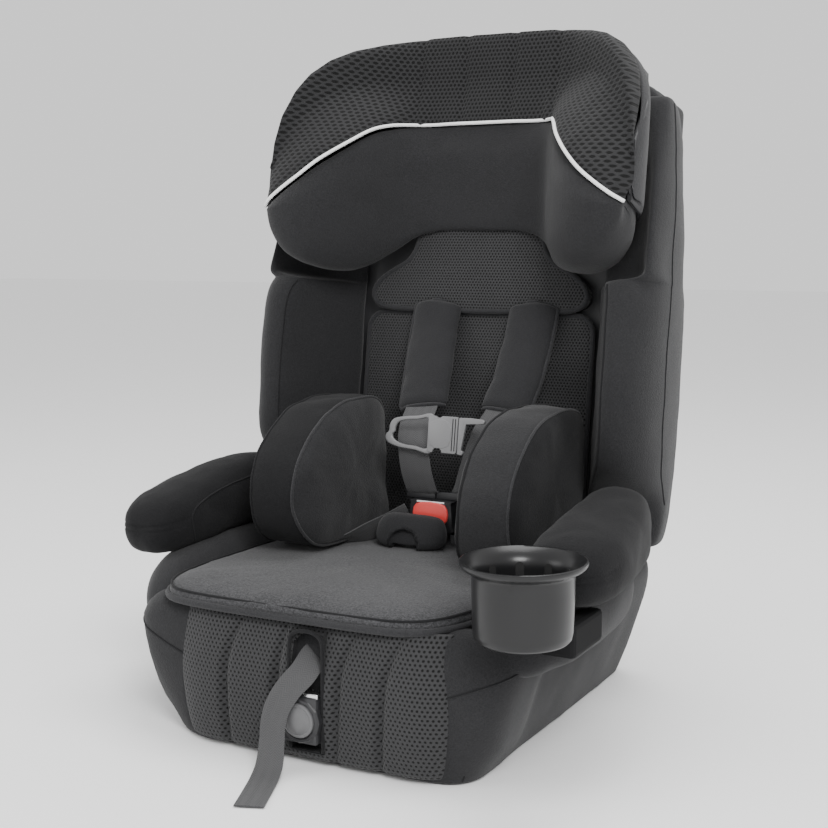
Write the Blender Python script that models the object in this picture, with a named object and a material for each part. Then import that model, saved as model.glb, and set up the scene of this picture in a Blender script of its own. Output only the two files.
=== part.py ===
"""Forward-facing child car seat with a five-point harness: base, reclining back, sliding headrest.

World frame: +X to the child's left (the cup-holder side), -Y to the front, +Z up, floor at Z = 0.
Parts of the back and the headrest are built in the back frame: x across, y to the rear of the
plane the child leans on, z up along that plane.
"""

import bmesh
import bpy
from math import cos, pi, radians, sin
from mathutils import Matrix, Vector

# Overall layout
LEAN = radians(8.0)              # the back leans to the rear by this much
BACK_ORIGIN = Vector((0.0, 0.100, 0.0))
RECLINE_AXIS = Vector((0.0, 0.165, 0.158))
GAP = 0.0003

# Base
BASE_LEVELS = ((0.000, 0.149, 0.196), (0.030, 0.160, 0.199), (0.080, 0.177, 0.201),
               (0.115, 0.185, 0.198), (0.130, 0.184, 0.190))
BASE_REAR = 0.205
COVER_THICK = 0.003
SHELL_WALL = 0.004
DECK_Z = 0.1305
SLOT_X = (-0.012, 0.022)
HOLE_Z = (0.074, 0.116)

# Seat cushion
CUSHION_THICK = 0.018
CUSHION_HALF = 0.158

# Back
BACK_HALF = 0.200
BACK_Z = (0.150, 0.650)
PLATE_Y = 0.0125
INSERT_THICK = 0.012

# Harness
WEBBING = 0.038
WEBBING_THICK = 0.0018
BUTTON_RADIUS = 0.0165


def clear_scene():
    for obj in list(bpy.data.objects):
        bpy.data.objects.remove(obj, do_unlink=True)


def new_collection(name):
    made = bpy.data.collections.new(name)
    bpy.context.scene.collection.children.link(made)
    return made


clear_scene()
PARTS = new_collection("car_seat")
CUTTERS = new_collection("cutters")
CUTTERS.hide_render = True


def material(name, colour, roughness, metallic=0.0):
    made = bpy.data.materials.new(name)
    made.use_nodes = True
    shader = made.node_tree.nodes["Principled BSDF"]
    shader.inputs["Base Color"].default_value = (*colour, 1.0)
    shader.inputs["Roughness"].default_value = roughness
    shader.inputs["Metallic"].default_value = metallic
    return made


def add(name, mesh, look=None, parent=None, collection=None):
    obj = bpy.data.objects.new(name, mesh)
    (collection or PARTS).objects.link(obj)
    if look:
        mesh.materials.append(look)
    if parent:
        obj.parent = parent
    return obj


def frame(name, matrix, parent=None):
    empty = bpy.data.objects.new(name, None)
    PARTS.objects.link(empty)
    if parent:
        empty.parent = parent
    empty.matrix_basis = matrix
    return empty


def finish_mesh(bm, name, smooth=35.0):
    bmesh.ops.recalc_face_normals(bm, faces=bm.faces)
    mesh = bpy.data.meshes.new(name)
    bm.to_mesh(mesh)
    bm.free()
    for face in mesh.polygons:
        face.use_smooth = True
    mesh.set_sharp_from_angle(angle=radians(smooth))
    return mesh


def loft(name, rings, look, parent=None, closed=False):
    """A closed body through rings of points, capped at its two ends."""
    bm = bmesh.new()
    rows = [[bm.verts.new(point) for point in ring] for ring in rings]
    count = len(rows[0])
    pairs = list(zip(rows, rows[1:]))
    if closed:
        pairs.append((rows[-1], rows[0]))
    for low, high in pairs:
        for i in range(count):
            j = (i + 1) % count
            bm.faces.new((low[i], low[j], high[j], high[i]))
    if not closed:
        bm.faces.new(rows[0])
        bm.faces.new(rows[-1])
    return add(name, finish_mesh(bm, name), look, parent)


def block(name, low, high, look, parent=None, bevel=0.0, segments=2, collection=None):
    """A box between two corners with rounded edges."""
    low, high = Vector(low), Vector(high)
    bm = bmesh.new()
    bmesh.ops.create_cube(bm, size=1.0)
    size = high - low
    middle = (low + high) / 2
    for vert in bm.verts:
        vert.co = Vector(a * b for a, b in zip(vert.co, size)) + middle
    if bevel:
        bmesh.ops.bevel(bm, geom=bm.edges[:], offset=bevel, segments=segments,
                        profile=0.5, affect="EDGES", material=-1)
    return add(name, finish_mesh(bm, name), look, parent, collection)


def cylinder(name, centre, radius, depth, axis, look, parent=None, sides=32, collection=None,
             end_radius=None):
    bm = bmesh.new()
    turn = {"X": Matrix.Rotation(pi / 2, 4, "Y"), "Y": Matrix.Rotation(pi / 2, 4, "X"),
            "Z": Matrix.Identity(4)}[axis]
    bmesh.ops.create_cone(bm, cap_ends=True, segments=sides, radius1=radius,
                          radius2=radius if end_radius is None else end_radius, depth=depth,
                          matrix=Matrix.Translation(Vector(centre)) @ turn)
    return add(name, finish_mesh(bm, name), look, parent, collection)


def cut(obj, cutter):
    cutter.hide_render = True
    cutter.display_type = "WIRE"
    if obj.parent:
        cutter.parent = obj.parent
    boolean = obj.modifiers.new("cut_" + cutter.name, "BOOLEAN")
    boolean.operation = "DIFFERENCE"
    boolean.solver = "EXACT"
    boolean.object = cutter


def join(obj, other):
    cut(obj, other)
    obj.modifiers[-1].operation = "UNION"


def cut_box(obj, name, low, high):
    cut(obj, block(name, low, high, None, collection=CUTTERS))


def rounded_rectangle(half_front, half_rear, front, rear, corner, z, steps=4, front_corner=None):
    """A ring round a plan outline, its front corners and rear corners rounded."""
    points = []
    near = corner if front_corner is None else front_corner
    centres = ((half_rear - corner, rear - corner, corner, 0.0),
               (-half_rear + corner, rear - corner, corner, 90.0),
               (-half_front + near, front + near, near, 180.0),
               (half_front - near, front + near, near, 270.0))
    for x, y, corner, start in centres:
        for step in range(steps + 1):
            angle = radians(start + 90.0 * step / steps)
            points.append(Vector((x + corner * cos(angle), y + corner * sin(angle), z)))
    return points


def superellipse(centre, half_wide, half_high, across, up, power=2.6, count=20):
    points = []
    for i in range(count):
        angle = 2 * pi * i / count
        c, s = cos(angle), sin(angle)
        u = half_wide * abs(c) ** (2 / power) * (1 if c >= 0 else -1)
        v = half_high * abs(s) ** (2 / power) * (1 if s >= 0 else -1)
        points.append(Vector(centre) + Vector(across) * u + Vector(up) * v)
    return points


def strap(name, path, width, thick, look, parent=None, across=(1.0, 0.0, 0.0)):
    """Webbing of rectangular section along a path; across is the direction of its width."""
    points = [Vector(p) for p in path]
    widths = [Vector(across)] * len(points) if isinstance(across[0], float) else [Vector(a) for a in across]
    rings = []
    for i, point in enumerate(points):
        along = (points[min(i + 1, len(points) - 1)] - points[max(i - 1, 0)]).normalized()
        wide = (widths[i] - along * widths[i].dot(along)).normalized()
        normal = along.cross(wide).normalized()
        half_w, half_t = wide * width / 2, normal * thick / 2
        rings.append([point + half_w + half_t, point - half_w + half_t,
                      point - half_w - half_t, point + half_w - half_t])
    bm = bmesh.new()
    rows = [[bm.verts.new(corner) for corner in ring] for ring in rings]
    for low, high in zip(rows, rows[1:]):
        # Both faces split along the same diagonal, so that a twisted length keeps its thickness.
        for corners in ((low[0], low[1], high[1]), (low[0], high[1], high[0]),
                        (low[3], high[2], low[2]), (low[3], high[3], high[2]),
                        (low[1], low[2], high[2], high[1]), (low[3], low[0], high[0], high[3])):
            bm.faces.new(corners)
    bm.faces.new(rows[0])
    bm.faces.new(rows[-1])
    return add(name, finish_mesh(bm, name), look, parent)


def upright_section(front, rear, low, high, chamfer):
    """A ring in the upright plane through two plan points, with chamfered corners."""
    front, rear = Vector((*front, 0.0)), Vector((*rear, 0.0))
    inward = (rear - front).normalized() * chamfer
    rise = Vector((0.0, 0.0, chamfer))
    low, high = Vector((0.0, 0.0, low)), Vector((0.0, 0.0, high))
    return [front + inward + low, front + low + rise, front + high - rise, front + inward + high,
            rear - inward + high, rear + high - rise, rear + low + rise, rear - inward + low]


def both_sides(half):
    """Stations given for the +X half, centre first, joined to their mirror images."""
    return [mirrored(station) for station in reversed(half[1:])] + list(half)


def mirrored(station):
    (fx, fy), (rx, ry), low, high, chamfer = station
    return (-fx, fy), (-rx, ry), low, high, chamfer


# Materials
knit_charcoal = material("knit_charcoal", (0.045, 0.045, 0.050), 0.90)
heather = material("heather_knit", (0.085, 0.085, 0.090), 0.92)
spacer_mesh = material("spacer_mesh", (0.030, 0.030, 0.032), 0.88)
black_knit = material("black_knit", (0.018, 0.018, 0.020), 0.90)
webbing_grey = material("webbing_grey", (0.105, 0.105, 0.110), 0.75)
shell_plastic = material("shell_plastic", (0.025, 0.025, 0.027), 0.50)
gloss_plastic = material("gloss_plastic", (0.050, 0.050, 0.053), 0.25)
clip_plastic = material("clip_plastic", (0.300, 0.300, 0.305), 0.40)
button_grey = material("button_grey", (0.155, 0.155, 0.160), 0.35)
button_red = material("button_red", (0.650, 0.035, 0.030), 0.35)
piping_white = material("piping_white", (0.850, 0.850, 0.850), 0.60)
steel = material("steel", (0.560, 0.560, 0.570), 0.35, 1.0)

back_turn = Matrix.Rotation(-LEAN, 4, "X")
recline_frame = frame("recline_frame", Matrix.Translation(RECLINE_AXIS))
back_frame = frame("back_frame", Matrix.Translation(BACK_ORIGIN - RECLINE_AXIS) @ back_turn, recline_frame)
headrest_frame = frame("headrest_frame", Matrix.Identity(4), back_frame)


# Base: the moulded shell is an upturned tub, open underneath, and the cover is a sewn skin round it.
def base_ring(level, inset, top=None):
    z, half, front = level
    rear_half = half + 0.012
    return rounded_rectangle(half - inset, rear_half - inset, -front + inset, BASE_REAR - inset,
                             0.045 - inset, z if top is None else top)


cover_outer = [base_ring(level, 0.0) for level in BASE_LEVELS]
cover_inner = [base_ring(level, COVER_THICK) for level in reversed(BASE_LEVELS)]
base_cover = loft("base_cover", cover_outer + cover_inner, knit_charcoal, closed=True)

shell_inset = COVER_THICK + GAP
base_outer = [base_ring(level, shell_inset) for level in reversed(BASE_LEVELS)]
base_inner = [base_ring(level, shell_inset + SHELL_WALL) for level in BASE_LEVELS[:-1]]
base_inner[-1] = base_ring(BASE_LEVELS[-2], shell_inset + SHELL_WALL, top=0.125)
base_shell = loft("base_shell", base_outer + base_inner, shell_plastic)
join(base_shell, block("base_rib", (-0.146, -0.008, 0.0), (0.146, 0.008, 0.127), None,
                       collection=CUTTERS))
for node in (base_shell, base_cover):
    cut_box(node, node.name + "_strap_hole", (-0.004, -0.215, HOLE_Z[0]), (0.020, -0.170, HOLE_Z[1]))

# Recline hinge: a bracket on each rear corner of the deck carries a steel pin.
for side, word in ((1, "left"), (-1, "right")):
    x0, x1 = sorted((side * 0.1820, side * 0.1915))
    bracket = block("recline_bracket_" + word, (x0, 0.150, DECK_Z), (x1, 0.180, 0.172), shell_plastic,
                    bevel=0.003)
    cut(bracket, cylinder("pin_bore_" + word, RECLINE_AXIS + Vector((side * 0.187, 0.0, 0.0)), 0.0044,
                          0.030, "X", None, collection=CUTTERS))
    cylinder("recline_pin_" + word, RECLINE_AXIS + Vector((side * 0.1895, 0.0, 0.0)), 0.0040, 0.021,
             "X", steel, sides=20)

# Front panel: padded mesh over the front of the cover, with a slot for the adjuster.
panel_rings = []
for z, half, front, depth in ((0.004, 0.134, 0.208, 0.010), (0.040, 0.136, 0.213, 0.012),
                              (0.085, 0.139, 0.215, 0.012), (0.115, 0.141, 0.213, 0.012),
                              (0.131, 0.141, 0.206, 0.006)):
    base_front = {0.004: 0.1962, 0.040: 0.1994, 0.085: 0.2010, 0.115: 0.1984, 0.131: 0.1906}[z]
    panel_rings.append([Vector((-half, -base_front - 0.0016, z)), Vector((-half + 0.006, -front, z)),
                        Vector((half - 0.006, -front, z)), Vector((half, -base_front - 0.0016, z))])
front_panel = loft("front_mesh_panel", panel_rings, spacer_mesh)
cut_box(front_panel, "panel_slot", (SLOT_X[0], -0.230, 0.012), (SLOT_X[1], -0.170, 0.124))

# Harness adjuster: housing in the slot, a steel cam that bites the strap and a press button.
adjuster_housing = block("adjuster_housing", (-0.0165, -0.2225, 0.024), (0.0205, -0.2018, 0.068),
                         shell_plastic, bevel=0.003)
cut(front_panel, block("housing_recess", (-0.0170, -0.230, 0.0235), (0.0210, -0.195, 0.0685), None,
                       collection=CUTTERS))
cut(adjuster_housing, cylinder("button_bore", (0.002, -0.2160, 0.046), BUTTON_RADIUS + 0.0004, 0.020,
                               "Y", None, sides=36, collection=CUTTERS))
cylinder("adjuster_button", (0.002, -0.2190, 0.046), BUTTON_RADIUS, 0.013, "Y", button_grey, sides=36)
block("adjuster_cam", (0.004, -0.2190, 0.0688), (0.018, -0.2060, 0.0715), steel, bevel=0.0006)

strap("adjuster_strap", ((0.008, -0.186, 0.104), (0.007, -0.204, 0.100), (0.003, -0.217, 0.088),
                         (-0.006, -0.224, 0.076), (-0.015, -0.2285, 0.060), (-0.019, -0.2315, 0.044),
                         (-0.018, -0.236, 0.026), (-0.015, -0.245, 0.010), (-0.011, -0.258, 0.0030),
                         (-0.003, -0.280, 0.0014), (0.010, -0.314, 0.0014)),
      0.026, 0.0016, webbing_grey, across=((0.3, -0.2, -1.0), (0.7, -0.2, -0.7), (1.0, 0.0, -0.5),
                                           (1.0, 0.0, -0.2), (1.0, 0.0, 0.0), (1.0, 0.0, 0.0),
                                           (1.0, 0.0, 0.0), (1.0, 0.10, 0.0), (1.0, 0.22, 0.0),
                                           (1.0, 0.30, 0.0), (1.0, 0.32, 0.0)))

# Seat cushion: a quilted pad resting on the deck and its front edge.
cushion_rings = []
for rise, inset in ((0.0, 0.006), (0.003, 0.001), (0.009, 0.0), (0.014, 0.001), (CUSHION_THICK, 0.008)):
    cushion_rings.append(rounded_rectangle(CUSHION_HALF - 0.012 - inset, CUSHION_HALF - inset,
                                           -0.209 + inset, 0.118 - inset, 0.050 - inset,
                                           0.1340 + rise, steps=5))
loft("seat_cushion", cushion_rings, heather)

# Armrests: a moulded frame bolted to the side of the base, and a padded sleeve over it.
for side, word in ((1, "left"), (-1, "right")):
    sleeve = []
    for y, x, z, half_w, half_h in ((0.052, 0.214, 0.196, 0.022, 0.034), (0.030, 0.219, 0.196, 0.029, 0.039),
                                    (0.000, 0.223, 0.194, 0.031, 0.038), (-0.060, 0.227, 0.188, 0.034, 0.033),
                                    (-0.110, 0.229, 0.184, 0.034, 0.029), (-0.142, 0.229, 0.180, 0.030, 0.025),
                                    (-0.158, 0.228, 0.178, 0.020, 0.016)):
        sleeve.append(superellipse((side * x, y, z), half_w, half_h, (1, 0, 0), (0, 0, 1)))
    loft("armrest_pad_" + word, sleeve, black_knit)
    x0, x1 = sorted((side * 0.1968, side * 0.2280))
    arm_frame = block("armrest_frame_" + word, (x0, -0.105, 0.100), (x1, 0.030, 0.1495), shell_plastic,
                      bevel=0.004)

# Cup holder: a flared cup hooked on a bracket at the front of one armrest.
CUP = Vector((0.222, -0.216, 0.0))
cup_profile = ((0.0375, 0.136), (0.0400, 0.138), (0.0415, 0.144), (0.0440, 0.182), (0.0455, 0.196),
               (0.0540, 0.210), (0.0565, 0.2125), (0.0560, 0.2145), (0.0530, 0.2130), (0.0430, 0.197),
               (0.0415, 0.184), (0.0390, 0.146), (0.0370, 0.1405))
bm = bmesh.new()
rows = []
sides = 40
for radius, z in ((0.0, 0.136),) + cup_profile + ((0.0, 0.1405),):
    if radius == 0.0:
        rows.append([bm.verts.new((CUP.x, CUP.y, z))])
    else:
        rows.append([bm.verts.new((CUP.x + radius * cos(2 * pi * i / sides),
                                   CUP.y + 1.06 * radius * sin(2 * pi * i / sides), z))
                     for i in range(sides)])
for low, high in zip(rows, rows[1:]):
    for i in range(sides):
        j = (i + 1) % sides
        if len(low) == 1:
            bm.faces.new((low[0], high[j], high[i]))
        elif len(high) == 1:
            bm.faces.new((low[i], low[j], high[0]))
        else:
            bm.faces.new((low[i], low[j], high[j], high[i]))
cup_holder = add("cup_holder", finish_mesh(bm, "cup_holder", 40.0), gloss_plastic)
for number in range(8):
    slot = block("cup_slot_%d" % number, (0.034, -0.0035, 0.185), (0.064, 0.0035, 0.203), None, bevel=0.003,
                 collection=CUTTERS)
    slot.data.transform(Matrix.Translation(CUP) @ Matrix.Rotation(2 * pi * (number + 0.5) / 8, 4, "Z"))
    cut(cup_holder, slot)
bracket = block("cup_holder_bracket", (0.2020, -0.1655, 0.120), (0.2420, -0.0950, 0.1495), shell_plastic,
                bevel=0.004)
cut_box(bracket, "bracket_clear", (0.1900, -0.1060, 0.095), (0.2300, -0.0900, 0.155))

# Buckle, crotch strap and its pad, lap straps: all fixed to the base.
strap("crotch_strap", ((0.003, 0.052, 0.1540), (0.003, 0.050, 0.162), (0.003, 0.048, 0.1690)), 0.034,
      WEBBING_THICK, webbing_grey)
buckle_body = block("buckle_body", (-0.020, 0.036, 0.1700), (0.026, 0.060, 0.2020), shell_plastic,
                    bevel=0.004)
cut_box(buckle_body, "button_well", (-0.0135, 0.0300, 0.1790), (0.0195, 0.0485, 0.1985))
block("buckle_button", (-0.0130, 0.0345, 0.1795), (0.0190, 0.0430, 0.1980), button_red, bevel=0.0015)
for low_x, high_x, word in ((0.0035, 0.0440, "left"), (-0.0330, 0.0025, "right")):
    block("buckle_tongue_" + word, (low_x, 0.0465, 0.2023), (high_x, 0.0495, 0.2105), steel, bevel=0.0008)
crotch_rings = []
for z, half, y, thick in ((0.1535, 0.034, 0.018, 0.012), (0.158, 0.037, 0.017, 0.015),
                          (0.170, 0.036, 0.018, 0.014), (0.181, 0.032, 0.021, 0.011),
                          (0.186, 0.028, 0.022, 0.008)):
    crotch_rings.append(superellipse((-0.014, y, z), half, thick / 2, (1, 0, 0), (0, 1, 0), 3.0, 16))
loft("crotch_pad", crotch_rings, black_knit)
for side, word in ((1, "left"), (-1, "right")):
    strap("lap_strap_" + word, ((side * 0.031 + 0.003, 0.048, 0.1830), (side * 0.046, 0.038, 0.1735),
                                (side * 0.062, 0.024, 0.1670), (side * 0.078, 0.010, 0.1605),
                                (side * 0.094, 0.001, 0.1566), (side * 0.120, -0.004, 0.1552),
                                (side * 0.150, -0.004, 0.1548)),
          0.030, 0.0020, webbing_grey,
          across=((0.0, -0.35, 0.94), (0.0, -0.55, 0.80), (0.0, -0.75, 0.55), (0.0, -0.94, 0.22),
                  (0.0, -0.99, 0.06), (0.0, -1.0, 0.02), (0.0, -1.0, 0.0)))

# Torso bolsters: thick sewn pads standing on the cushion along the child's sides.
BOLSTER = ((0.092, 0.160), (0.100, 0.200), (0.106, 0.250), (0.108, 0.290), (0.090, 0.302), (0.055, 0.305),
           (0.020, 0.303), (-0.008, 0.297), (-0.029, 0.289), (-0.054, 0.273), (-0.069, 0.256),
           (-0.080, 0.237), (-0.084, 0.216), (-0.078, 0.192), (-0.064, 0.172), (-0.044, 0.161),
           (0.020, 0.158))
middle = Vector((0.0, 0.015, 0.225))
for side, word in ((1, "left"), (-1, "right")):
    rings = []
    for x, scale in ((0.082, 0.80), (0.088, 0.94), (0.100, 0.995), (0.124, 1.0), (0.140, 0.985), (0.147, 0.93)):
        ring = []
        for y, z in BOLSTER:
            ring.append(Vector((side * x, middle.y + (y - middle.y) * scale, middle.z + (z - middle.z) * scale)))
        rings.append(ring)
    loft("torso_bolster_" + word, rings, black_knit)

# Back shell: a moulded tray open to the rear, with two harness slots.
shell_rings = []
for y, inset in ((PLATE_Y, 0.004), (PLATE_Y + 0.004, 0.0), (0.055, 0.0)):
    shell_rings.append([Vector((p.x, y, p.y)) for p in
                        rounded_rectangle(BACK_HALF - inset, BACK_HALF - 0.006 - inset,
                                          BACK_Z[0] + inset, BACK_Z[1] - inset, 0.050 - inset, 0.0,
                                          front_corner=0.012 - inset)])
for y in (0.055, PLATE_Y + 0.004):
    shell_rings.append([Vector((p.x, y, p.y)) for p in
                        rounded_rectangle(BACK_HALF - 0.004, BACK_HALF - 0.010, BACK_Z[0] + 0.004,
                                          BACK_Z[1] - 0.004, 0.046, 0.0, front_corner=0.008)])
back_shell = loft("back_shell", shell_rings, shell_plastic, back_frame)
for side, word in ((1, "left"), (-1, "right")):
    x0, x1 = sorted((side * 0.024, side * 0.090))
    cut_box(back_shell, "harness_slot_" + word, (x0, 0.000, 0.400), (x1, 0.030, 0.420))
lean_back = Matrix.Rotation(LEAN, 4, "X")
pivot = lean_back @ (RECLINE_AXIS - BACK_ORIGIN)
for side, word in ((1, "left"), (-1, "right")):
    x0, x1 = sorted((side * 0.1805, side * 0.1935))
    cut_box(back_shell, "bracket_gap_" + word, (x0, 0.0180, 0.140), (x1, 0.0700, 0.166))
    cut(back_shell, cylinder("flange_bore_" + word, (side * 0.197, pivot.y, pivot.z), 0.0044, 0.016,
                             "X", None, back_frame, collection=CUTTERS))

# Side wings: thick padded covers over the sides of the back.
def wing_ring(z, tip, narrow=0.0):
    """Plan outline of a wing; tip is how far its front edge stands ahead of the back plane."""
    wide = 0.231 - narrow
    lean_in = 0.142 + 0.38 * tip
    return [Vector(p) for p in ((0.143, 0.0118, z), (0.143, -0.001 - 0.02 * tip, z),
                                (0.143 + 0.14 * tip, -0.35 * tip, z), (lean_in - 0.003, -0.88 * tip, z),
                                (lean_in + 0.005, -tip, z), (wide - 0.018, -0.97 * tip, z),
                                (wide - 0.004, -0.74 * tip, z), (wide, -0.35 * tip, z),
                                (wide - 0.003, 0.012, z), (wide - 0.012, 0.050, z), (0.2004, 0.050, z),
                                (0.2004, 0.0118, z))]


# Above the wings the cover goes on as a thin wall that stands clear of the sliding headrest: each pair
# is a depth ahead of the back plane and how far out the wall's inner face is there.
WALL_INNER = ((0.0, 0.143), (0.0105, 0.172), (0.044, 0.2035), (0.083, 0.2155), (0.120, 0.2165))


def wall_inner(depth):
    for (d0, x0), (d1, x1) in zip(WALL_INNER, WALL_INNER[1:]):
        if depth <= d1:
            return x0 + (x1 - x0) * (depth - d0) / (d1 - d0)
    return WALL_INNER[-1][1]


def wall_ring(z, tip, narrow):
    """Plan outline of the thin wall beside the headrest."""
    wide = 0.231 - narrow
    return [Vector(p) for p in ((0.143, 0.0118, z), (0.143, -0.0015, z),
                                (wall_inner(0.30 * tip), -0.30 * tip, z), (wall_inner(0.65 * tip), -0.65 * tip, z),
                                (wall_inner(tip), -tip, z), (wide - 0.004, -tip, z),
                                (wide - 0.001, -0.74 * tip, z), (wide, -0.35 * tip, z),
                                (wide - 0.003, 0.012, z), (wide - 0.012, 0.050, z), (0.2004, 0.050, z),
                                (0.2004, 0.0118, z))]


WING_LEVELS = ((0.160, 0.016, 0.012), (0.175, 0.020, 0.006), (0.205, 0.026, 0.003), (0.228, 0.080, 0.002),
               (0.250, 0.104, 0.0), (0.330, 0.108, 0.0), (0.395, 0.106, 0.0), (0.416, 0.098, 0.001),
               (0.426, 0.086, 0.002))
WALL_LEVELS = ((0.4285, 0.084, 0.003), (0.470, 0.078, 0.005), (0.520, 0.064, 0.008), (0.560, 0.050, 0.012),
               (0.600, 0.034, 0.016), (0.625, 0.022, 0.022))
for side, word in ((1, "left"), (-1, "right")):
    outlines = [wing_ring(*level) for level in WING_LEVELS] + [wall_ring(*level) for level in WALL_LEVELS]
    rings = [[Vector((side * p.x, p.y, p.z)) for p in outline] for outline in outlines]
    loft("wing_pad_" + word, rings, knit_charcoal, back_frame)

# Inserts: the mesh pads that the child leans on.
lower = [Vector((p.x, 0.0, p.y)) for p in rounded_rectangle(0.134, 0.134, 0.170, 0.396, 0.020, 0.0)]
lower_rings = [[p + Vector((0.0, y, 0.0)) for p in lower] for y in (0.0, PLATE_Y - GAP)]
lower_insert = loft("lower_insert", lower_rings, spacer_mesh, back_frame)

UPPER_HALF = ((0.0, 0.398), (0.100, 0.400), (0.121, 0.404), (0.129, 0.416), (0.122, 0.432), (0.104, 0.445),
              (0.086, 0.455), (0.078, 0.466), (0.074, 0.482), (0.072, 0.520), (0.0, 0.522))
upper = [(x, z) for x, z in UPPER_HALF] + [(-x, z) for x, z in reversed(UPPER_HALF[1:-1])]
upper_rings = [[Vector((x, y, z)) for x, z in upper] for y in (0.001, PLATE_Y - GAP)]
upper_insert = loft("upper_insert", upper_rings, spacer_mesh, back_frame)
for side, word in ((1, "left"), (-1, "right")):
    x0, x1 = sorted((side * 0.024, side * 0.090))
    cut_box(upper_insert, "insert_slot_" + word, (x0, -0.010, 0.3900), (x1, 0.030, 0.420))
    cut_box(lower_insert, "lower_slot_" + word, (x0, -0.010, 0.3900), (x1, 0.030, 0.411))

# Shoulder straps run from the slots behind their pads to the chest clip and on to the buckle.
SHOULDER = {
    "left": ((0.070, 0.018, 0.406), (0.070, -0.002, 0.405), (0.070, -0.010, 0.394), (0.070, -0.022, 0.360),
             (0.069, -0.040, 0.322), (0.065, -0.062, 0.292), (0.060, -0.080, 0.270), (0.054, -0.0875, 0.250),
             (0.046, -0.0850, 0.227), (0.037, -0.0780, 0.2055)),
    "right": ((-0.044, 0.018, 0.406), (-0.044, -0.002, 0.405), (-0.0445, -0.010, 0.394), (-0.042, -0.022, 0.360),
              (-0.036, -0.040, 0.322), (-0.0295, -0.062, 0.292), (-0.024, -0.086, 0.270), (-0.018, -0.0985, 0.248),
              (-0.0155, -0.096, 0.225), (-0.0125, -0.088, 0.2045)),
}
PAD_LENGTH = {"left": slice(2, 5), "right": slice(2, 5)}
for word, path in SHOULDER.items():
    strap("shoulder_strap_" + word, path, WEBBING - 0.002, WEBBING_THICK, webbing_grey, back_frame)
    rings = []
    covered = [Vector(p) for p in path[2:6]]
    covered = [covered[0] + Vector((0, 0.003, 0.006))] + covered[1:]
    for index, point in enumerate(covered):
        size = (0.66, 0.98, 1.0, 0.86)[index]
        rings.append(superellipse(point + Vector((0.0, -0.0125, 0.0)), 0.024 * size, 0.0075 * size,
                                  (1, 0, 0), (0, 1, 0), 3.0, 16))
    loft("shoulder_pad_" + word, rings, black_knit, back_frame)

# Chest clip: two halves that latch over the straps.
clip_left = block("chest_clip_left", (0.0222, -0.1055, 0.246), (0.062, -0.0990, 0.286), clip_plastic,
                  back_frame, bevel=0.0025)
clip_right = block("chest_clip_right", (-0.050, -0.1075, 0.250), (0.0215, -0.1035, 0.288), clip_plastic,
                   back_frame, bevel=0.0018)

# Splitter plate: the steel yoke behind the shell where the shoulder straps meet the adjuster strap.
splitter = block("splitter_plate", (-0.050, 0.0240, 0.250), (0.050, 0.0270, 0.290), steel, back_frame,
                 bevel=0.001)

# Headrest carrier: a moulded slide behind the head that runs on the face of the back shell.
carrier = block("headrest_carrier", (-0.070, 0.0020, 0.530), (0.070, 0.0118, 0.690), shell_plastic,
                headrest_frame, bevel=0.002)
HEAD_BACK = ((0.0, 0.0), (0.070, 0.0), (0.120, -0.004), (0.165, -0.020), (0.196, -0.050), (0.210, -0.085),
             (0.208, -0.112))


def offset_path(path, distance):
    """The plan path moved sideways, towards the rear and outside for a positive distance."""
    moved = []
    for i, (x, y) in enumerate(path):
        x0, y0 = path[max(i - 1, 0)] if i else (-path[1][0], path[1][1])
        x1, y1 = path[min(i + 1, len(path) - 1)]
        along = Vector((x1 - x0, y1 - y0)).normalized()
        moved.append((x - along.y * distance, y + along.x * distance))
    return moved


SHELL_LOW = (0.500, 0.500, 0.498, 0.494, 0.490, 0.492, 0.500)
SHELL_HIGH = (0.694, 0.694, 0.690, 0.672, 0.640, 0.600, 0.560)
half_shell = list(zip(HEAD_BACK, offset_path(HEAD_BACK, -0.0045), SHELL_LOW, SHELL_HIGH, (0.001,) * 7))
half_shell = [(inner, outer, low, high, c) for outer, inner, low, high, c in half_shell]
loft("headrest_shell", [upright_section(*s) for s in both_sides(half_shell)], shell_plastic, headrest_frame)

# Head pads: smooth lobed pad below, mesh pad above, sewn together along the piping.
HEAD_FRONT = ((0.0, -0.024), (0.066, -0.024), (0.092, -0.052), (0.110, -0.084), (0.134, -0.122),
              (0.166, -0.142), (0.192, -0.141))
PAD_LOW = (0.486, 0.486, 0.440, 0.432, 0.430, 0.436, 0.452)
SEAM_Z = (0.602, 0.602, 0.594, 0.578, 0.552, 0.524, 0.506)
inner_face = offset_path(HEAD_BACK, -0.0050)
pad_half = [(front, rear, low, high - 0.0022, 0.009)
            for front, rear, low, high in zip(HEAD_FRONT, inner_face, PAD_LOW, SEAM_Z)]
loft("head_pad", [upright_section(*s) for s in both_sides(pad_half)], knit_charcoal, headrest_frame)

MESH_FRONT = ((0.0, -0.018), (0.070, -0.018), (0.110, -0.034), (0.142, -0.068), (0.170, -0.098),
              (0.194, -0.116), (0.2005, -0.1175))
MESH_HIGH = (0.704, 0.704, 0.700, 0.684, 0.652, 0.604, 0.560)
mesh_half = [(front, rear, low + 0.0022, high, 0.006)
             for front, rear, low, high in zip(MESH_FRONT, inner_face, SEAM_Z, MESH_HIGH)]
loft("head_mesh_pad", [upright_section(*s) for s in both_sides(mesh_half)], spacer_mesh, headrest_frame)

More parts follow.
